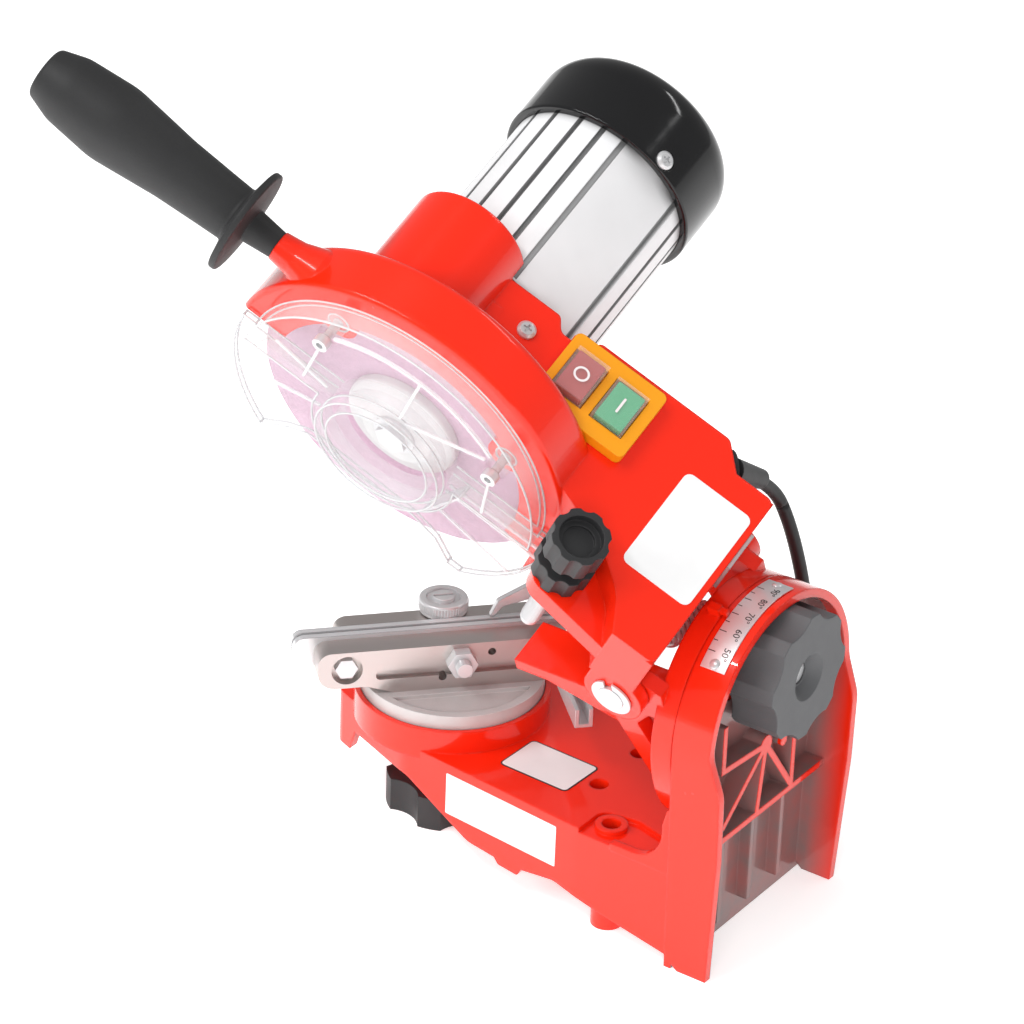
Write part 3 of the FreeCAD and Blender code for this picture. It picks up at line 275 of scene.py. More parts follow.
@dataclass(frozen=True)
class CastMetal:
    """Bare cast or forged metal with a sandy skin. Noise scales are per metre."""

    name: str
    colour: Colour
    rough: float
    grain: float = 900
    edge: float = 0.7
    metal: float = 0.55
    clouds: float = 60
    cloud_shade: float = 0.72
    rubbed: Colour = (0.9, 0.9, 0.9)

    def build(self) -> bpy.types.Material:
        """Make the material."""
        shade = Shade(self.name)
        base = shade.mix(shade.noise(self.clouds, 4), scaled(self.colour, self.cloud_shade), self.colour)
        shine = shade.edges(0.5)
        shade.set(Base_Color=shade.mix(shine * 0.6, base, self.rubbed), Metallic=self.metal,
                  Roughness=self.rough + shade.noise(self.grain * 0.3, 3) * 0.18 - shine * 0.12,
                  Normal=shade.bump(shade.noise(self.grain, 3), 0.35, 0.2, self.edge))
        return shade.material


@dataclass(frozen=True)
class DrawnMetal:
    """Machined, drawn or plated metal with fine lines along one axis.

    groove_shade_depth is how deep shade is painted into grooves and dark_edge_reflection how wide a dark reflection
    is painted along edges, both in millimetres.
    """

    name: str
    colour: Colour
    rough: float
    stretch: Point = (1, 1, 1)
    lines: float = 700
    edge: float = 0.4
    metal: float = 0.7
    groove_shade_depth: float = 0
    dark_edge_reflection: float = 0
    smears: float = 30
    smear_shade: float = 0.82
    groove_shade_tone: float = 0.30
    dark_edge_reflection_colour: Colour = (0.10, 0.10, 0.10)

    def build(self) -> bpy.types.Material:
        """Make the material."""
        shade = Shade(self.name)
        lines = shade.noise(self.lines, 2, self.stretch)
        smear = shade.noise(self.smears, 3)
        base = shade.mix(smear, scaled(self.colour, self.smear_shade), self.colour)
        if self.groove_shade_depth:
            # Painted shade: ambient occlusion darkens the colour in grooves and corners.
            sky = shade.add("ShaderNodeAmbientOcclusion", {"samples": 8}, {"Distance": self.groove_shade_depth * MM}, "AO")
            base = shade.mix(((1 - sky) * 1.6).clear(), base, scaled(self.colour, self.groove_shade_tone))
        if self.dark_edge_reflection:
            # Painted dark reflection: the colour is darkened along the edges.
            base = shade.mix(shade.edges(self.dark_edge_reflection) * 0.8, base, self.dark_edge_reflection_colour)
        shade.set(Base_Color=base, Metallic=self.metal, Roughness=self.rough + lines * 0.10 + smear * 0.06,
                  Normal=shade.bump(lines, 0.08, 0.1, self.edge))
        return shade.material


@dataclass(frozen=True)
class Moulding:
    """Moulded plastic with a fine spark-eroded grain. Noise scales are per metre."""

    name: str
    colour: Colour
    rough: float
    grain: float = 0.25
    edge: float = 0.8
    clouds: float = 35
    mottle: float = 160
    skin: float = 1600

    def build(self) -> bpy.types.Material:
        """Make the material."""
        shade = Shade(self.name)
        cloud = shade.noise(self.clouds, 3)
        pale = tuple(c * 1.25 + 0.006 for c in self.colour)
        rub = shade.edges(0.6)
        shade.set(Base_Color=shade.mix(cloud * 0.5 + rub * 0.4, self.colour, pale),
                  Roughness=self.rough + shade.noise(self.mottle, 3) * 0.12 - rub * 0.08,
                  Normal=shade.bump(shade.noise(self.skin, 2), self.grain, 0.15, self.edge))
        return shade.material


@dataclass(frozen=True)
class ClearSheet:
    """Clear moulded polycarbonate: thin on its flats, milky in the walls that run along an axis."""

    name: str
    body: float
    colour: Colour = (0.80, 0.81, 0.82)
    axis: Optional[Point] = None
    wall_milk: float = 0.18
    haze: float = 0.95
    scuffs: float = 120
    ripple: float = 40

    def build(self) -> bpy.types.Material:
        """Make the material."""
        shade = Shade(self.name)
        scuff = shade.noise(self.scuffs, 4)
        milk = scuff * 0.03 + self.body
        if self.axis:
            facing = shade.add("ShaderNodeTexCoord", {}, {}, "Normal")
            along = shade.add("ShaderNodeVectorMath", {"operation": "DOT_PRODUCT"},
                              {0: facing, 1: self.axis}, "Value")
            milk = milk + (1 - along * along) * self.wall_milk
        shade.set(Base_Color=shade.mix(scuff, scaled(self.colour, self.haze), self.colour),
                  Roughness=scuff * 0.06 + 0.04, Alpha=milk.clear(),
                  Normal=shade.bump(shade.noise(self.ripple, 2), 0.03, 0.3))
        shade.set(Specular_IOR_Level=0.5)
        return shade.material


@dataclass(frozen=True)
class Abrasive:
    """Bonded grit with a pale bond. Scales are per metre."""

    name: str
    colour: Colour
    grit: float = 1100
    dusting: float = 50
    pale: float = 1.4

    def build(self) -> bpy.types.Material:
        """Make the material."""
        shade = Shade(self.name)
        grains = shade.add("ShaderNodeTexVoronoi", {}, {"Vector": shade.place(), "Scale": self.grit}, "Color")
        grey = shade.add("ShaderNodeSeparateColor", {}, {"Color": grains}, 0)
        bond = tuple(min(1, c) for c in scaled(self.colour, self.pale))
        dust = shade.noise(self.dusting, 4)
        shade.set(Base_Color=shade.mix(grey * 0.6 + dust * 0.3, self.colour, bond),
                  Roughness=dust * 0.1 + 0.82, Normal=shade.bump(grey, 0.5, 0.3))
        return shade.material


@dataclass(frozen=True)
class PrintedPlate:
    """A thin printed plate or label, bare, with a slight mottle. Scales are per metre."""

    name: str
    colour: Colour
    rough: float = 0.42
    mottling: float = 80
    dull: float = 0.93
    skin: float = 700

    def build(self) -> bpy.types.Material:
        """Make the material."""
        shade = Shade(self.name)
        mottle = shade.noise(self.mottling, 3)
        shade.set(Base_Color=shade.mix(mottle, scaled(self.colour, self.dull), self.colour),
                  Roughness=self.rough + mottle * 0.1,
                  Normal=shade.bump(shade.noise(self.skin, 2), 0.06, 0.1))
        return shade.material


PAINT_RED = (0.86, 0.020, 0.004)


class Finish(Enum):
    """The finishes of the grinder."""

    RED = Enamel("red_enamel", PAINT_RED)
    COLUMN = ColumnEnamel("column_enamel", PAINT_RED)
    CAST = CastMetal("cast_aluminium", (0.74, 0.70, 0.68), 0.40, metal=0.35)
    DISC = CastMetal("machined_disc", (0.60, 0.57, 0.56), 0.34, metal=0.22)
    # The motor housing gets painted shade in its grooves.
    BRIGHT = DrawnMetal("extruded_aluminium", (0.90, 0.90, 0.91), 0.34, (1, 0.03, 1), metal=0.2,
                        groove_shade_depth=5)
    STEEL = DrawnMetal("plated_steel", (0.74, 0.74, 0.75), 0.24, metal=0.55)
    # The rails get a painted dark reflection along their edges.
    POLISHED = DrawnMetal("polished_rail", (0.80, 0.80, 0.81), 0.14, (0.05, 1, 1), metal=0.55,
                          dark_edge_reflection=0.6)
    BLACK = Moulding("black_moulding", (0.018, 0.018, 0.019), 0.44)
    GRIP = Moulding("grip_rubber", (0.014, 0.014, 0.0145), 0.52, 0.45)
    GLOSS = Moulding("black_enamel", (0.004, 0.004, 0.0045), 0.06, 0.02)
    GREY = Moulding("grey_moulding", (0.085, 0.086, 0.090), 0.5, 0.4)
    YELLOW = Moulding("yellow_moulding", (0.74, 0.28, 0.003), 0.32)
    STOP = Moulding("stop_red", (0.36, 0.045, 0.04), 0.4)
    START = Moulding("start_green", (0.06, 0.34, 0.16), 0.4)
    WHITE = CastMetal("white_flange", (0.74, 0.74, 0.74), 0.5, metal=0.1)
    GRIT = Abrasive("lilac_grit", (0.45, 0.31, 0.39))
    CLEAR = ClearSheet("clear_guard", 0.05, axis=tuple(ARM.col[1].xyz))
    RIB = ClearSheet("clear_rib", 0.5, (0.80, 0.81, 0.82))
    # Painted highlights along the guard's clear edges.
    BEAD = ClearSheet("guard_edge_highlight", 0.75, (0.66, 0.67, 0.68))
    IRON = CastMetal("core_iron", (0.18, 0.18, 0.18), 0.5)
    PLATE = PrintedPlate("bare_plate", (0.78, 0.78, 0.78))
    SCALE = DrawnMetal("scale_metal", (0.86, 0.86, 0.87), 0.30)
    CAP = ClearSheet("button_cap", 0.12)
    INK = PrintedPlate("dark_print", (0.02, 0.02, 0.02))
    MARK = PrintedPlate("pale_print", (0.80, 0.74, 0.74))
    CORD = Moulding("cord_sheath", (0.012, 0.012, 0.013), 0.42, 0.15)

    def material(self) -> bpy.types.Material:
        """The finish's material, made once."""
        found = bpy.data.materials.get(self.value.name)
        return found or self.value.build()


NODE_FINISH = {
    Finish.RED: ("yoke_casting", "arm_casting"),
    Finish.COLUMN: ("base_casting",),
    Finish.CAST: ("fixed_jaw", "moving_jaw"),
    Finish.DISC: ("turntable_disc",),
    Finish.BRIGHT: ("motor_housing",),
    Finish.STEEL: ("turntable_spindle", "jaw_nut", "clamp_stud", "stud_nut", "stop_adjuster",
                   "clamp_lever", "clamp_pin", "tilt_pivot_bolt", "tilt_lock_bolt", "tilt_washer",
                   "hinge_pin", "pin_clip_near", "pin_clip_far", "return_spring", "front_bearing",
                   "rear_bearing", "cap_screw", "collar_screw", "motor_shaft", "wheel_bolt",
                   "guard_screw_left", "guard_screw_right", "handle_stud", "depth_rod"),
    Finish.POLISHED: ("fixed_rail", "moving_rail", "chain_stop_pawl", "hinge_plate"),
    Finish.BLACK: ("vise_lock_knob", "depth_knob", "depth_lock_nut", "cooling_fan", "cord_gland", "plug"),
    Finish.GRIP: ("handle_grip",),
    Finish.GLOSS: ("motor_end_cap",),
    Finish.GREY: ("tilt_lock_knob",),
    Finish.YELLOW: ("switch_housing",),
    Finish.WHITE: ("inner_flange", "outer_flange"),
    Finish.GRIT: ("grinding_wheel",),
    Finish.CLEAR: ("wheel_guard",),
    Finish.IRON: ("stator", "rotor_core"),
    Finish.PLATE: ("nameplate",),
    Finish.SCALE: ("tilt_scale_strip",),
    Finish.CAP: ("stop_button", "start_button"),
    Finish.CORD: ("power_cord", "cord_coil"),
}


def dress_nodes() -> None:
    """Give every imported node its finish."""
    for finish, names in NODE_FINISH.items():
        for name in names:
            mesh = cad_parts[name].data
            mesh.materials.clear()
            mesh.materials.append(finish.material())


def piece(name: str, mesh: Union[bmesh.types.BMesh, bpy.types.Mesh], finish: Finish, body: str) -> bpy.types.Object:
    """Make an object that rides on a body.

    Args:
        name: the piece's name.
        mesh: a finished bmesh, which is freed, or a mesh.
        finish: its finish.
        body: the body that carries it.

    Returns:
        The new object.
    """
    if isinstance(mesh, bmesh.types.BMesh):
        data = bpy.data.meshes.new(name)
        bmesh.ops.recalc_face_normals(mesh, faces=mesh.faces)
        mesh.to_mesh(data)
        mesh.free()
    else:
        data = mesh
    obj = bpy.data.objects.new(name, data)
    bpy.context.scene.collection.objects.link(obj)
    data.materials.clear()
    data.materials.append(finish.material())
    if body:
        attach(obj, body)
    log.info("%s rides on %s", name, body)
    return obj


@dataclass
class Lead:
    """The mains lead: a drop from the gland, a put-away coil and the run to the plug. Millimetres."""

    radius: float = 3.0
    gland: Point = (-19.5, 54.15, 32)
    way: Point = (0.45, 0.60, -0.66)
    relief: float = 14
    straight: float = 42
    drop: Sequence[Point] = ((20, 62, 160), (27, 66, 128), (31, 69, 92), (31, 71, 56), (27, 71, 28),
                             (12, 70, 8.5))
    still: int = 3
    centre: Point = (-24, 112, 3.2)
    outer: float = 43
    inner: float = 22
    rise: float = 6.8
    layer: float = 3
    climb: float = 0.5
    turns: float = 6.25
    per_turn: int = 16
    lead_in: Point = (20, 0, 0)
    lead_out: Point = (0, 18, 0)
    sides: int = 14

    def coil(self, turns: float) -> Vector:
        """The coil's centreline after so many turns."""
        climbed = min(max((turns - self.layer) / self.climb, 0), 1)
        inward = min(turns, self.layer) / self.layer
        outward = max(turns - self.layer - self.climb, 0) / self.layer
        radius = self.outer - (self.outer - self.inner) * (inward - outward)
        angle = -math.pi / 2 - 2 * math.pi * turns
        spoke = Vector((radius * math.cos(angle), radius * math.sin(angle), self.rise * climbed))
        return Vector(self.centre) + spoke

    def line(self, points: Iterable[Vector]) -> list[Vector]:
        """Points along a smooth spline with the given control points, in metres."""
        points = list(points)
        curve = bpy.data.curves.new("lead_line", "CURVE")
        curve.dimensions = "3D"
        curve.resolution_u = 10
        spline = curve.splines.new("NURBS")
        spline.points.add(len(points) - 1)
        for knot, point in zip(spline.points, points):
            knot.co = (*point, 1)
        spline.order_u = 3
        spline.use_endpoint_u = True
        obj = bpy.data.objects.new("lead_line", curve)
        bpy.context.scene.collection.objects.link(obj)
        bpy.context.view_layer.update()
        mesh = bpy.data.meshes.new_from_object(obj)
        found = [v.co.copy() for v in mesh.vertices]
        bpy.data.objects.remove(obj)
        bpy.data.meshes.remove(mesh)
        return found

    def tube(self, path: Sequence[Vector]) -> bmesh.types.BMesh:
        """A round sheath along a path, by extruding a ring of edges."""
        mesh = bmesh.new()
        first = (path[1] - path[0]).normalized()
        spin = first.to_track_quat("Z", "Y")
        start = Matrix.Translation(path[0]) @ spin.to_matrix().to_4x4()
        ring = bmesh.ops.create_circle(mesh, cap_ends=True, segments=self.sides, radius=self.radius * MM,
                                       matrix=start)["verts"]
        edges = list({edge for vert in ring for edge in vert.link_edges})
        before = first
        for i in range(1, len(path)):
            grown = bmesh.ops.extrude_edge_only(mesh, edges=edges)["geom"]
            ring = [item for item in grown if isinstance(item, bmesh.types.BMVert)]
            edges = [item for item in grown if isinstance(item, bmesh.types.BMEdge)]
            ahead = path[min(i + 1, len(path) - 1)] - path[max(i - 1, 0)]
            ahead.normalize()
            bmesh.ops.translate(mesh, verts=ring, vec=path[i] - path[i - 1])
            bmesh.ops.rotate(mesh, verts=ring, cent=path[i],
                             matrix=before.rotation_difference(ahead).to_matrix())
            before = ahead
        bmesh.ops.contextual_create(mesh, geom=edges)
        for face in mesh.faces:
            face.smooth = len(face.verts) == 4
        return mesh

    def build(self) -> None:
        """Make the two stretches: gland to yoke, and yoke to the plug on the bench."""
        way = Vector(self.way).normalized()
        start = ARM @ ((Vector(self.gland) + way * self.relief) * MM)
        knee = ARM @ ((Vector(self.gland) + way * self.straight) * MM)
        drop = [Vector(point) * MM for point in self.drop]
        middle = (knee + drop[0]) / 2
        upper = self.line([start, knee, middle])
        begin = self.coil(0) * MM
        windings = [self.coil(i / self.per_turn) * MM for i in range(int(self.turns * self.per_turn) + 1)]
        end = windings[-1] + Vector(self.lead_out) * MM
        lower = self.line([middle, *drop, begin + Vector(self.lead_in) * MM, *windings, end])
        first = self.sheath("lead_upper", upper)
        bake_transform(first)
        second = self.sheath("lead_lower", lower)
        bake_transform(second)
        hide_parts("power_cord", "cord_coil")

    def sheath(self, name: str, path: Sequence[Vector]) -> bpy.types.Object:
        """One stretch of the lead, not yet riding."""
        return piece(name, self.tube(path), Finish.CORD, "")

    @staticmethod
    def length(path: Sequence[Vector]) -> float:
        """The length of a path in metres."""
        return sum((b - a).length for a, b in zip(path, path[1:]))


def rise_of(edge: bmesh.types.BMEdge) -> float:
    """How far an edge rises, in metres."""
    return abs(edge.verts[0].co.z - edge.verts[1].co.z)


def slab(size: Point, place: Matrix, corner: float, edge: float) -> bmesh.types.BMesh:
    """A block with rounded upright corners and softened rims.

    Args:
        size: width, depth and height in millimetres.
        place: where its centre and axes lie.
        corner: radius of the upright corners.
        edge: radius of the rims.

    Returns:
        The finished bmesh.
    """
    mesh = bmesh.new()
    bmesh.ops.create_cube(mesh, size=1, matrix=Matrix.Diagonal((*(v * MM for v in size), 1)))
    upright = [e for e in mesh.edges if rise_of(e) > 1e-6]
    bmesh.ops.bevel(mesh, geom=upright, offset=corner * MM, affect="EDGES", segments=5, profile=0.5,
                    material=-1)
    rims = [e for e in mesh.edges if rise_of(e) < 1e-9 and e.calc_face_angle(0) > 1]
    bmesh.ops.bevel(mesh, geom=rims, offset=edge * MM, affect="EDGES", segments=2, profile=0.5,
                    material=-1)
    bmesh.ops.transform(mesh, matrix=place, verts=mesh.verts)
    return mesh


def dome(radius: float, height: float, place: Matrix) -> bmesh.types.BMesh:
    """A flat-bottomed rivet head in millimetres, standing on the place's plane."""
    mesh = bmesh.new()
    bmesh.ops.create_uvsphere(mesh, u_segments=24, v_segments=12, radius=1)
    cut = bmesh.ops.bisect_plane(mesh, geom=[*mesh.verts, *mesh.edges, *mesh.faces], plane_co=(0, 0, 0),
                                 plane_no=(0, 0, -1), clear_outer=True)["geom_cut"]
    bmesh.ops.contextual_create(mesh, geom=[e for e in cut if isinstance(e, bmesh.types.BMEdge)])
    for face in mesh.faces:
        face.smooth = len(face.verts) < 5
    bmesh.ops.transform(mesh, matrix=place @ Matrix.Diagonal((radius * MM, radius * MM, height * MM, 1)),
                        verts=mesh.verts)
    return mesh


FIGURE_RELIEF = 0.04


def lettering(text: str, height: float, place: Matrix) -> bpy.types.Mesh:
    """Raised figures, height in millimetres, centred on the place."""
    curve = bpy.data.curves.new("figures", "FONT")
    curve.body = text
    curve.size = height * MM
    curve.align_x, curve.align_y = "CENTER", "CENTER"
    curve.extrude = FIGURE_RELIEF * MM
    curve.resolution_u = 4
    obj = bpy.data.objects.new("figures", curve)
    bpy.context.scene.collection.objects.link(obj)
    bpy.context.view_layer.update()
    mesh = bpy.data.meshes.new_from_object(obj)
    bpy.data.objects.remove(obj)
    mesh.transform(place)
    return mesh


def thread(radius: float, depth: float, pitch: float, length: float, place: Matrix) -> bmesh.types.BMesh:
    """A screw thread's ridge, spun up its axis, in millimetres."""
    mesh = bmesh.new()
    half = pitch * 0.42
    root = radius - 0.1
    per_turn = 20
    corners = [mesh.verts.new((r * MM, 0, z * MM)) for r, z in
               ((root, -half), (radius + depth, 0), (root, half))]
    edges = [mesh.edges.new(corners[i:i + 2]) for i in (0, 1)]
    edges.append(mesh.edges.new((corners[2], corners[0])))
    turns = length / pitch
    bmesh.ops.spin(mesh, geom=[*corners, *edges], cent=(0, 0, 0), axis=(0, 0, 1), steps=int(turns * per_turn),
                   angle=2 * math.pi * turns, dvec=(0, 0, pitch * MM / per_turn))
    bmesh.ops.holes_fill(mesh, edges=mesh.edges, sides=3)
    bmesh.ops.transform(mesh, matrix=place, verts=mesh.verts)
    return mesh


@dataclass
class TiltScale:
    """Ticks, figures and rivets of the tilt strip. Millimetres and degrees."""

    centre: Point = (0, 0, 108.7)
    radius: float = 56.8
    front: float = 41.5
    rear: float = 53.5
    figures: Sequence[int] = (50, 60, 70, 80, 90)
    figure_height: float = 4.4
    figure_inset: float = 3.6
    every: int = 5
    tick_width: float = 0.4
    tick_relief: float = 0.08
    tick_inset: float = 0.2
    long_tick: float = 3.4
    short_tick: float = 2.0
    lift: float = 0.02
    ends: tuple[float, float] = (45.2, -7.0)
    rivet_radius: float = 2.4
    rivet_height: float = 1.1

    def at(self, angle: float, x: float) -> Matrix:
        """A place on the strip: x along the text, y towards the knob, z outwards."""
        a = math.radians(angle)
        along = Vector((0, -math.cos(a), -math.sin(a)))
        out = Vector((0, -math.sin(a), math.cos(a)))
        spot = Vector(self.centre) + out * (self.radius + self.lift) + Vector((x, 0, 0))
        turned = Matrix((along, Vector((1, 0, 0)), out)).transposed().to_4x4()
        return Matrix.Translation(spot * MM) @ turned

    def build(self) -> None:
        """Mark the strip."""
        for figure in self.figures:
            spot = self.at(90 - figure, self.rear - self.figure_inset)
            mesh = lettering(f"{figure}°", self.figure_height, spot)
            piece(f"scale_{figure}", mesh, Finish.INK, "base")
        for value in range(self.figures[0], self.figures[-1] + 1, self.every):
            reach = self.long_tick if value in self.figures else self.short_tick
            spot = self.at(90 - value, self.front + reach / 2 + self.tick_inset)
            mesh = slab((self.tick_width, reach, self.tick_relief), spot, 0.05, 0.01)
            piece(f"tick_{value}", mesh, Finish.INK, "base")
        for name, angle in zip(("near", "far"), self.ends):
            spot = self.at(angle, (self.front + self.rear) / 2)
            rivet = dome(self.rivet_radius, self.rivet_height, spot)
            piece(f"strip_rivet_{name}", rivet, Finish.STEEL, "base")


@dataclass
class Buttons:
    """Coloured blocks with their marks, inside the clear button caps. Millimetres."""

    width: float = 16
    depth: float = 22
    base: float = 47.6
    places: Sequence[tuple[str, float, float, Finish]] = (
        ("stop_button", -90.7, 54.5, Finish.STOP), ("start_button", -69.7, 53.0, Finish.START))
    v: float = 36
    wall: float = 1.2
    roof: float = 0.9
    mark_lift: float = 0.03
    mark_relief: float = 0.06
    ring_radius: float = 3.6
    ring_width: float = 1.0
    bar: tuple[float, float] = (1.1, 8)

    def build(self) -> None:
        """Make a block and a mark for each button."""
        for body, p, top, finish in self.places:
            height = top - self.base - self.roof
            centre = ARM @ shift(p, self.v, self.base + height / 2)
            size = (self.width - 2 * self.wall, self.depth - 2 * self.wall, height)
            piece(f"{body}_block", slab(size, centre, 0.8, 0.3), finish, body)
            self.mark(body, ARM @ shift(p, self.v, top + self.mark_lift))

    def mark(self, body: str, spot: Matrix) -> None:
        """Put a ring on the stop button, a bar on the start button."""
        if body == "stop_button":
            mesh = bmesh.new()
            ring = bmesh.ops.create_circle(mesh, cap_ends=True, segments=40, radius=self.ring_radius * MM)
            face = ring["verts"][0].link_faces[0]
            bmesh.ops.inset_region(mesh, faces=[face], thickness=self.ring_width * MM, use_boundary=True,
                                   use_even_offset=True)
            bmesh.ops.delete(mesh, geom=[face], context="FACES")
            bmesh.ops.solidify(mesh, geom=mesh.faces[:], thickness=self.mark_relief * MM)
            bmesh.ops.transform(mesh, matrix=spot, verts=mesh.verts)
        else:
            mesh = slab((*self.bar, self.mark_relief), spot, 0.2, 0.01)
        piece(f"{body}_mark", mesh, Finish.MARK, body)


@dataclass
class BarePlates:
    """Bare label places on the base and the panel. Millimetres."""

    wall_place: Point = (-52.6, -46.75, 35.6)
    wall_size: Point = (63, 20.5, 0.3)
    wall_turn: float = -5.71
    top_place: Point = (-47.6, -17.3, 50.6)
    top_size: Point = (36.6, 25.5, 0.2)
    top_turn: float = -2.1
    border: float = 0.7
    border_lift: float = 0.03
    name_place: Point = (-14, 8.5, 44.27)
    name_size: Point = (34, 53, 0.5)

    def build(self) -> None:
        """Stick the wall's plate, the plate top's with its border, and the panel's."""
        wall = shift(*self.wall_place) @ turn(self.wall_turn, "Z") @ turn(90, "X")
        piece("wall_label", slab(self.wall_size, wall, 0.6, 0.05), Finish.PLATE, "base")
        top = shift(*self.top_place) @ turn(self.top_turn, "Z")
        piece("plate_label", slab(self.top_size, top, 2.5, 0.05), Finish.INK, "base")
        width, depth, height = self.top_size
        inner = (width - 2 * self.border, depth - 2 * self.border, height)
        face = top @ shift(0, 0, self.border_lift)
        piece("plate_label_face", slab(inner, face, 1.9, 0.05), Finish.PLATE, "base")
        panel = piece("nameplate_face", slab(self.name_size, ARM @ shift(*self.name_place), 3.5, 0.1),
                      Finish.PLATE, "arm")
        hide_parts("nameplate")


@dataclass
class GuardRibs:
    """Moulded ribs on the clear guard, as x and z about the wheel's axis. Millimetres."""

    face: float = -20
    wing: float = -12.02
    width: float = 1.5
    height: float = 1.3
    corner: float = 0.6
    rim: float = 0.35
    arc_radius: float = 66
    arc_from: float = -37
    arc_to: float = 38.5
    on_face: Sequence[tuple[float, float, float, float]] = (
        (-62, 22.7, -33, 16.4), (1, 65, 0.2, 32), (3, 31, 40, 47.5), (46, 34, 50, 9), (-43.7, 40, -44.6, 12))
    on_wing: Sequence[tuple[float, float, float, float]] = (
        (-74, -27.8, -33.5, -14.4), (-74.8, -22, -67, 5), (28, -24, 72, -34), (31, -8.4, 79.5, -9.1),
        (31.5, -2.8, 79.5, -1.2))
    step: tuple[float, float, float, float] = (28, -23, 39.2, 6.5)
    highlight_radius: float = 0.5
    crease: float = 35
    clear_of_ring: float = 42

    def rod(self, line: tuple[float, float, float, float], base: float, height: float) -> bmesh.types.BMesh:
        """One straight rib that stands on a face square to the wheel's axis.

        Args:
            line: x and z of its two ends.
            base: where the face lies along the axis.
            height: how far it stands out.

        Returns:
            The finished bmesh.
        """
        start, end = Vector((line[0], base, line[1])), Vector((line[2], base, line[3]))
        along = (end - start).normalized()
        out = Vector((0, -1, 0))
        turned = Matrix((along, out.cross(along), out)).transposed().to_4x4()
        middle = (start + end) / 2 + out * (height / 2)
        place = WHEEL @ Matrix.Translation(middle * MM) @ turned
        return slab(((end - start).length, self.width, height), place, self.corner, self.rim)

    def bow(self) -> bmesh.types.BMesh:
        """The rib that follows the rim, spun about the wheel's axis."""
        mesh = bmesh.new()
        low, high = self.arc_radius - self.width / 2, self.arc_radius + self.width / 2
        corners = [mesh.verts.new(Vector((0, v, r)) * MM) for r, v in
                   ((low, self.face), (high, self.face), (high, self.face - self.height),
                    (low, self.face - self.height))]
        profile = mesh.faces.new(corners)
        bmesh.ops.rotate(mesh, verts=corners, cent=(0, 0, 0),
                         matrix=Matrix.Rotation(math.radians(self.arc_from), 3, "Y"))
        bmesh.ops.spin(mesh, geom=[profile], cent=(0, 0, 0), axis=(0, 1, 0), steps=40,
                       angle=math.radians(self.arc_to - self.arc_from))
        bmesh.ops.transform(mesh, matrix=WHEEL, verts=mesh.verts)
        return mesh

    def shown(self, spot: Vector) -> bool:
        """Whether a crease there lies on the guard's face or along its outer edge."""
        local = WHEEL.inverted() @ spot / MM
        on_face = local.y < self.face + 0.6
        outside = math.hypot(local.x, local.z) > self.clear_of_ring
        return on_face or (outside and local.y > self.wing - 0.6)

    def edge_highlights(self) -> bmesh.types.BMesh:
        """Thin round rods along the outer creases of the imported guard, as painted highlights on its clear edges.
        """
        guard = bmesh.new()
        guard.from_mesh(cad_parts["wheel_guard"].data)
        bmesh.ops.remove_doubles(guard, verts=guard.verts, dist=0.01 * MM)
        bmesh.ops.dissolve_limit(guard, angle_limit=math.radians(1), verts=guard.verts, edges=guard.edges)
        mesh = bmesh.new()
        for edge in guard.edges:
            start, end = (vert.co for vert in edge.verts)
            if edge.calc_face_angle(0) > math.radians(self.crease) and self.shown((start + end) / 2):
                spin = (end - start).to_track_quat("Z", "Y").to_matrix().to_4x4()
                bmesh.ops.create_cone(mesh, cap_ends=True, segments=6, radius1=self.highlight_radius * MM,
                                      radius2=self.highlight_radius * MM, depth=(end - start).length + 0.3 * MM,
                                      matrix=Matrix.Translation((start + end) / 2) @ spin)
        guard.free()
        return mesh

    def build(self) -> None:
        """Put the ribs and the painted edge highlights on the guard."""
        ribs = {"guard_rib_bow": self.bow()}
        for side, base, lines in (("face", self.face, self.on_face), ("wing", self.wing, self.on_wing)):
            for i, line in enumerate(lines):
                ribs[f"guard_rib_{side}_{i}"] = self.rod(line, base, self.height)
        ribs["guard_rib_step"] = self.rod(self.step, self.wing, self.wing - self.face)
        # Painted highlights: pale rods drawn along the guard's clear edges.
        piece("guard_edge_highlights", self.edge_highlights(), Finish.BEAD, "arm")
        for name, mesh in ribs.items():
            piece(name, mesh, Finish.RIB, "arm")


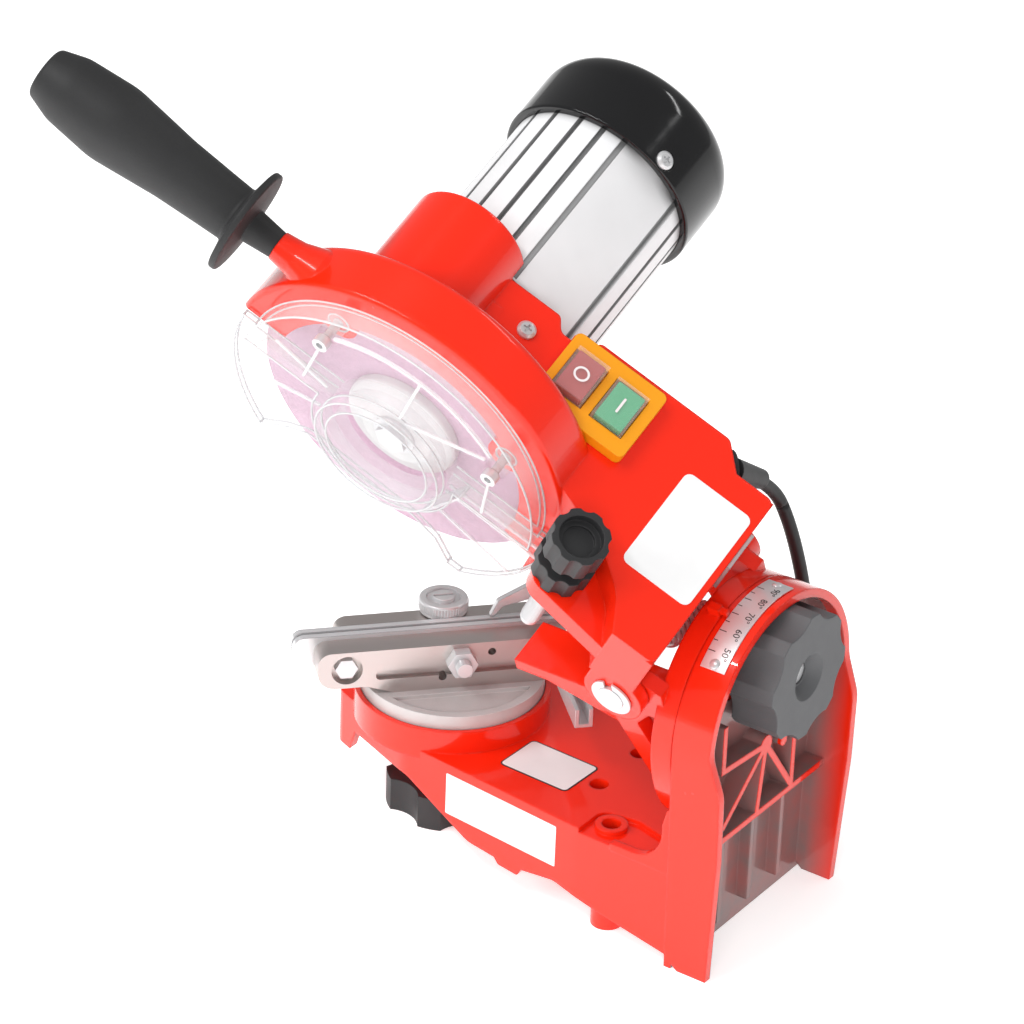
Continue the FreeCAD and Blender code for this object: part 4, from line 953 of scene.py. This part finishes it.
@dataclass
class Threads:
    """Cut threads on the depth rod and the clamp stud, and the adjuster's knurl. Millimetres.

    A thread's sizes are its radius, depth, pitch and length.
    """

    knurl_place: Point = (-2, 15, 92.4)
    knurl_root: float = 10.9
    knurl_tip: float = 11.3
    knurl_height: float = 3.2
    ridges: int = 52
    rod_place: Point = (-48.7, -30, -20)
    rod_sizes: Sequence[float] = (4, 0.35, 1.25, 24)
    stud_place: Point = (0, -21.6, 82)
    stud_sizes: Sequence[float] = (3.5, 0.3, 1.0, 4)

    def knurl(self) -> bmesh.types.BMesh:
        """A fluted ring that shows as upright ridges round the adjuster's head."""
        mesh = bmesh.new()
        ring = bmesh.ops.create_circle(mesh, cap_ends=True, segments=2 * self.ridges,
                                       radius=self.knurl_root * MM)
        out = self.knurl_tip / self.knurl_root
        bmesh.ops.scale(mesh, verts=ring["verts"][::2], vec=(out, out, 1))
        grown = bmesh.ops.extrude_face_region(mesh, geom=mesh.faces[:])["geom"]
        bmesh.ops.translate(mesh, verts=[item for item in grown if isinstance(item, bmesh.types.BMVert)],
                            vec=(0, 0, self.knurl_height * MM))
        bmesh.ops.transform(mesh, matrix=VISE @ shift(*self.knurl_place), verts=mesh.verts)
        return mesh

    def build(self) -> None:
        """Spin both threads and ring the adjuster."""
        rod = thread(*self.rod_sizes, ARM @ shift(*self.rod_place))
        piece("rod_thread", rod, Finish.STEEL, "depth_screw")
        stud = thread(*self.stud_sizes, VISE @ shift(*self.stud_place) @ turn(90, "X"))
        piece("adjuster_knurl", self.knurl(), Finish.STEEL, "adjuster")
        piece("stud_thread", stud, Finish.STEEL, "turntable")


@dataclass(frozen=True)
class Lamp:
    """One soft lamp: its place and size in metres, its watts, and whether glossy surfaces show it."""

    name: str
    place: Point
    size: tuple[float, float]
    watts: float
    mirrored: bool = False


@dataclass
class Studio:
    """Pale floor, soft light and the photograph's camera. Metres."""

    azimuth: float = 33.89
    elevation: float = 29.16
    roll: float = 2.21
    place: Point = (0.9503, -1.5398, 1.1928)
    lens: float = 172.1
    sensor: float = 36
    far: float = 120
    aim: Point = (-0.05, 0, 0.15)
    floor_half: float = 40
    floor_glow: float = 0.48
    sky: float = 0.34
    lamps: Sequence[Lamp] = (
        Lamp("front", (1.15, -1.9, 1.0), (1.4, 1.0), 30),
        Lamp("left", (-1.3, -1.4, 1.1), (1.0, 0.7), 22),
        Lamp("top", (-0.3, -0.3, 1.9), (1.2, 0.8), 11),
        Lamp("strip", (-0.6, -1.0, 1.7), (1.2, 0.06), 10, True),
        Lamp("rim", (0.7, 1.1, 1.5), (1.2, 0.10), 3.5, True))

    def camera(self) -> None:
        """Set the camera at the photograph's view."""
        az, el, roll = (math.radians(v) for v in (self.azimuth, self.elevation, self.roll))
        right = Vector((math.cos(az), math.sin(az), 0))
        back = Vector((math.sin(az) * math.cos(el), -math.cos(az) * math.cos(el), math.sin(el)))
        up = back.cross(right)
        across = right * math.cos(roll) + up * math.sin(roll)
        upright = up * math.cos(roll) - right * math.sin(roll)
        data = bpy.data.cameras.new("camera")
        data.sensor_width = self.sensor
        data.lens = self.lens
        data.clip_end = self.far
        obj = bpy.data.objects.new("camera", data)
        turned = Matrix((across, upright, back)).transposed().to_4x4()
        obj.matrix_world = Matrix.Translation(self.place) @ turned
        bpy.context.scene.collection.objects.link(obj)
        bpy.context.scene.camera = obj

    def floor(self) -> None:
        """Lay a pale floor."""
        mesh = bmesh.new()
        bmesh.ops.create_grid(mesh, x_segments=1, y_segments=1, size=self.floor_half)
        data = bpy.data.meshes.new("floor")
        mesh.to_mesh(data)
        mesh.free()
        obj = bpy.data.objects.new("floor", data)
        shade = Shade("floor_paper")
        shade.set(Base_Color=(0.95, 0.95, 0.95), Roughness=0.7)
        shade.set(Emission_Color=(1.0, 1.0, 1.0), Emission_Strength=self.floor_glow)
        data.materials.append(shade.material)
        bpy.context.scene.collection.objects.link(obj)

    def hang(self, lamp: Lamp) -> None:
        """Hang one lamp, turned to the aim."""
        data = bpy.data.lights.new(lamp.name, "AREA")
        data.shape = "RECTANGLE"
        data.size, data.size_y = lamp.size
        data.energy = lamp.watts
        obj = bpy.data.objects.new(lamp.name, data)
        obj.location = lamp.place
        obj.rotation_euler = (Vector(self.aim) - Vector(lamp.place)).to_track_quat("-Z", "Y").to_euler()
        obj.visible_glossy = lamp.mirrored
        bpy.context.scene.collection.objects.link(obj)

    def build(self) -> None:
        """Set up the studio."""
        self.camera()
        self.floor()
        for lamp in self.lamps:
            self.hang(lamp)
        world = bpy.data.worlds.new("studio")
        world.use_nodes = True
        light = world.node_tree.nodes["Background"].inputs
        light["Color"].default_value = (1, 1, 1, 1)
        light["Strength"].default_value = self.sky
        bpy.context.scene.world = world
        bpy.context.scene.view_settings.view_transform = "Standard"


def corners(box: tuple[Vector, Vector]) -> list[list[float]]:
    """A box as plain numbers."""
    return [list(corner) for corner in box]


def main() -> None:
    """Dress the grinder and report each piece."""
    logging.basicConfig(level=logging.INFO)
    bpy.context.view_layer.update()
    dress_nodes()
    for part in (Studio(), Lead(), TiltScale(), Buttons(), BarePlates(), GuardRibs(), Threads()):
        part.build()
        log.info("%s done", type(part).__name__)


if __name__ == "__main__":
    main()
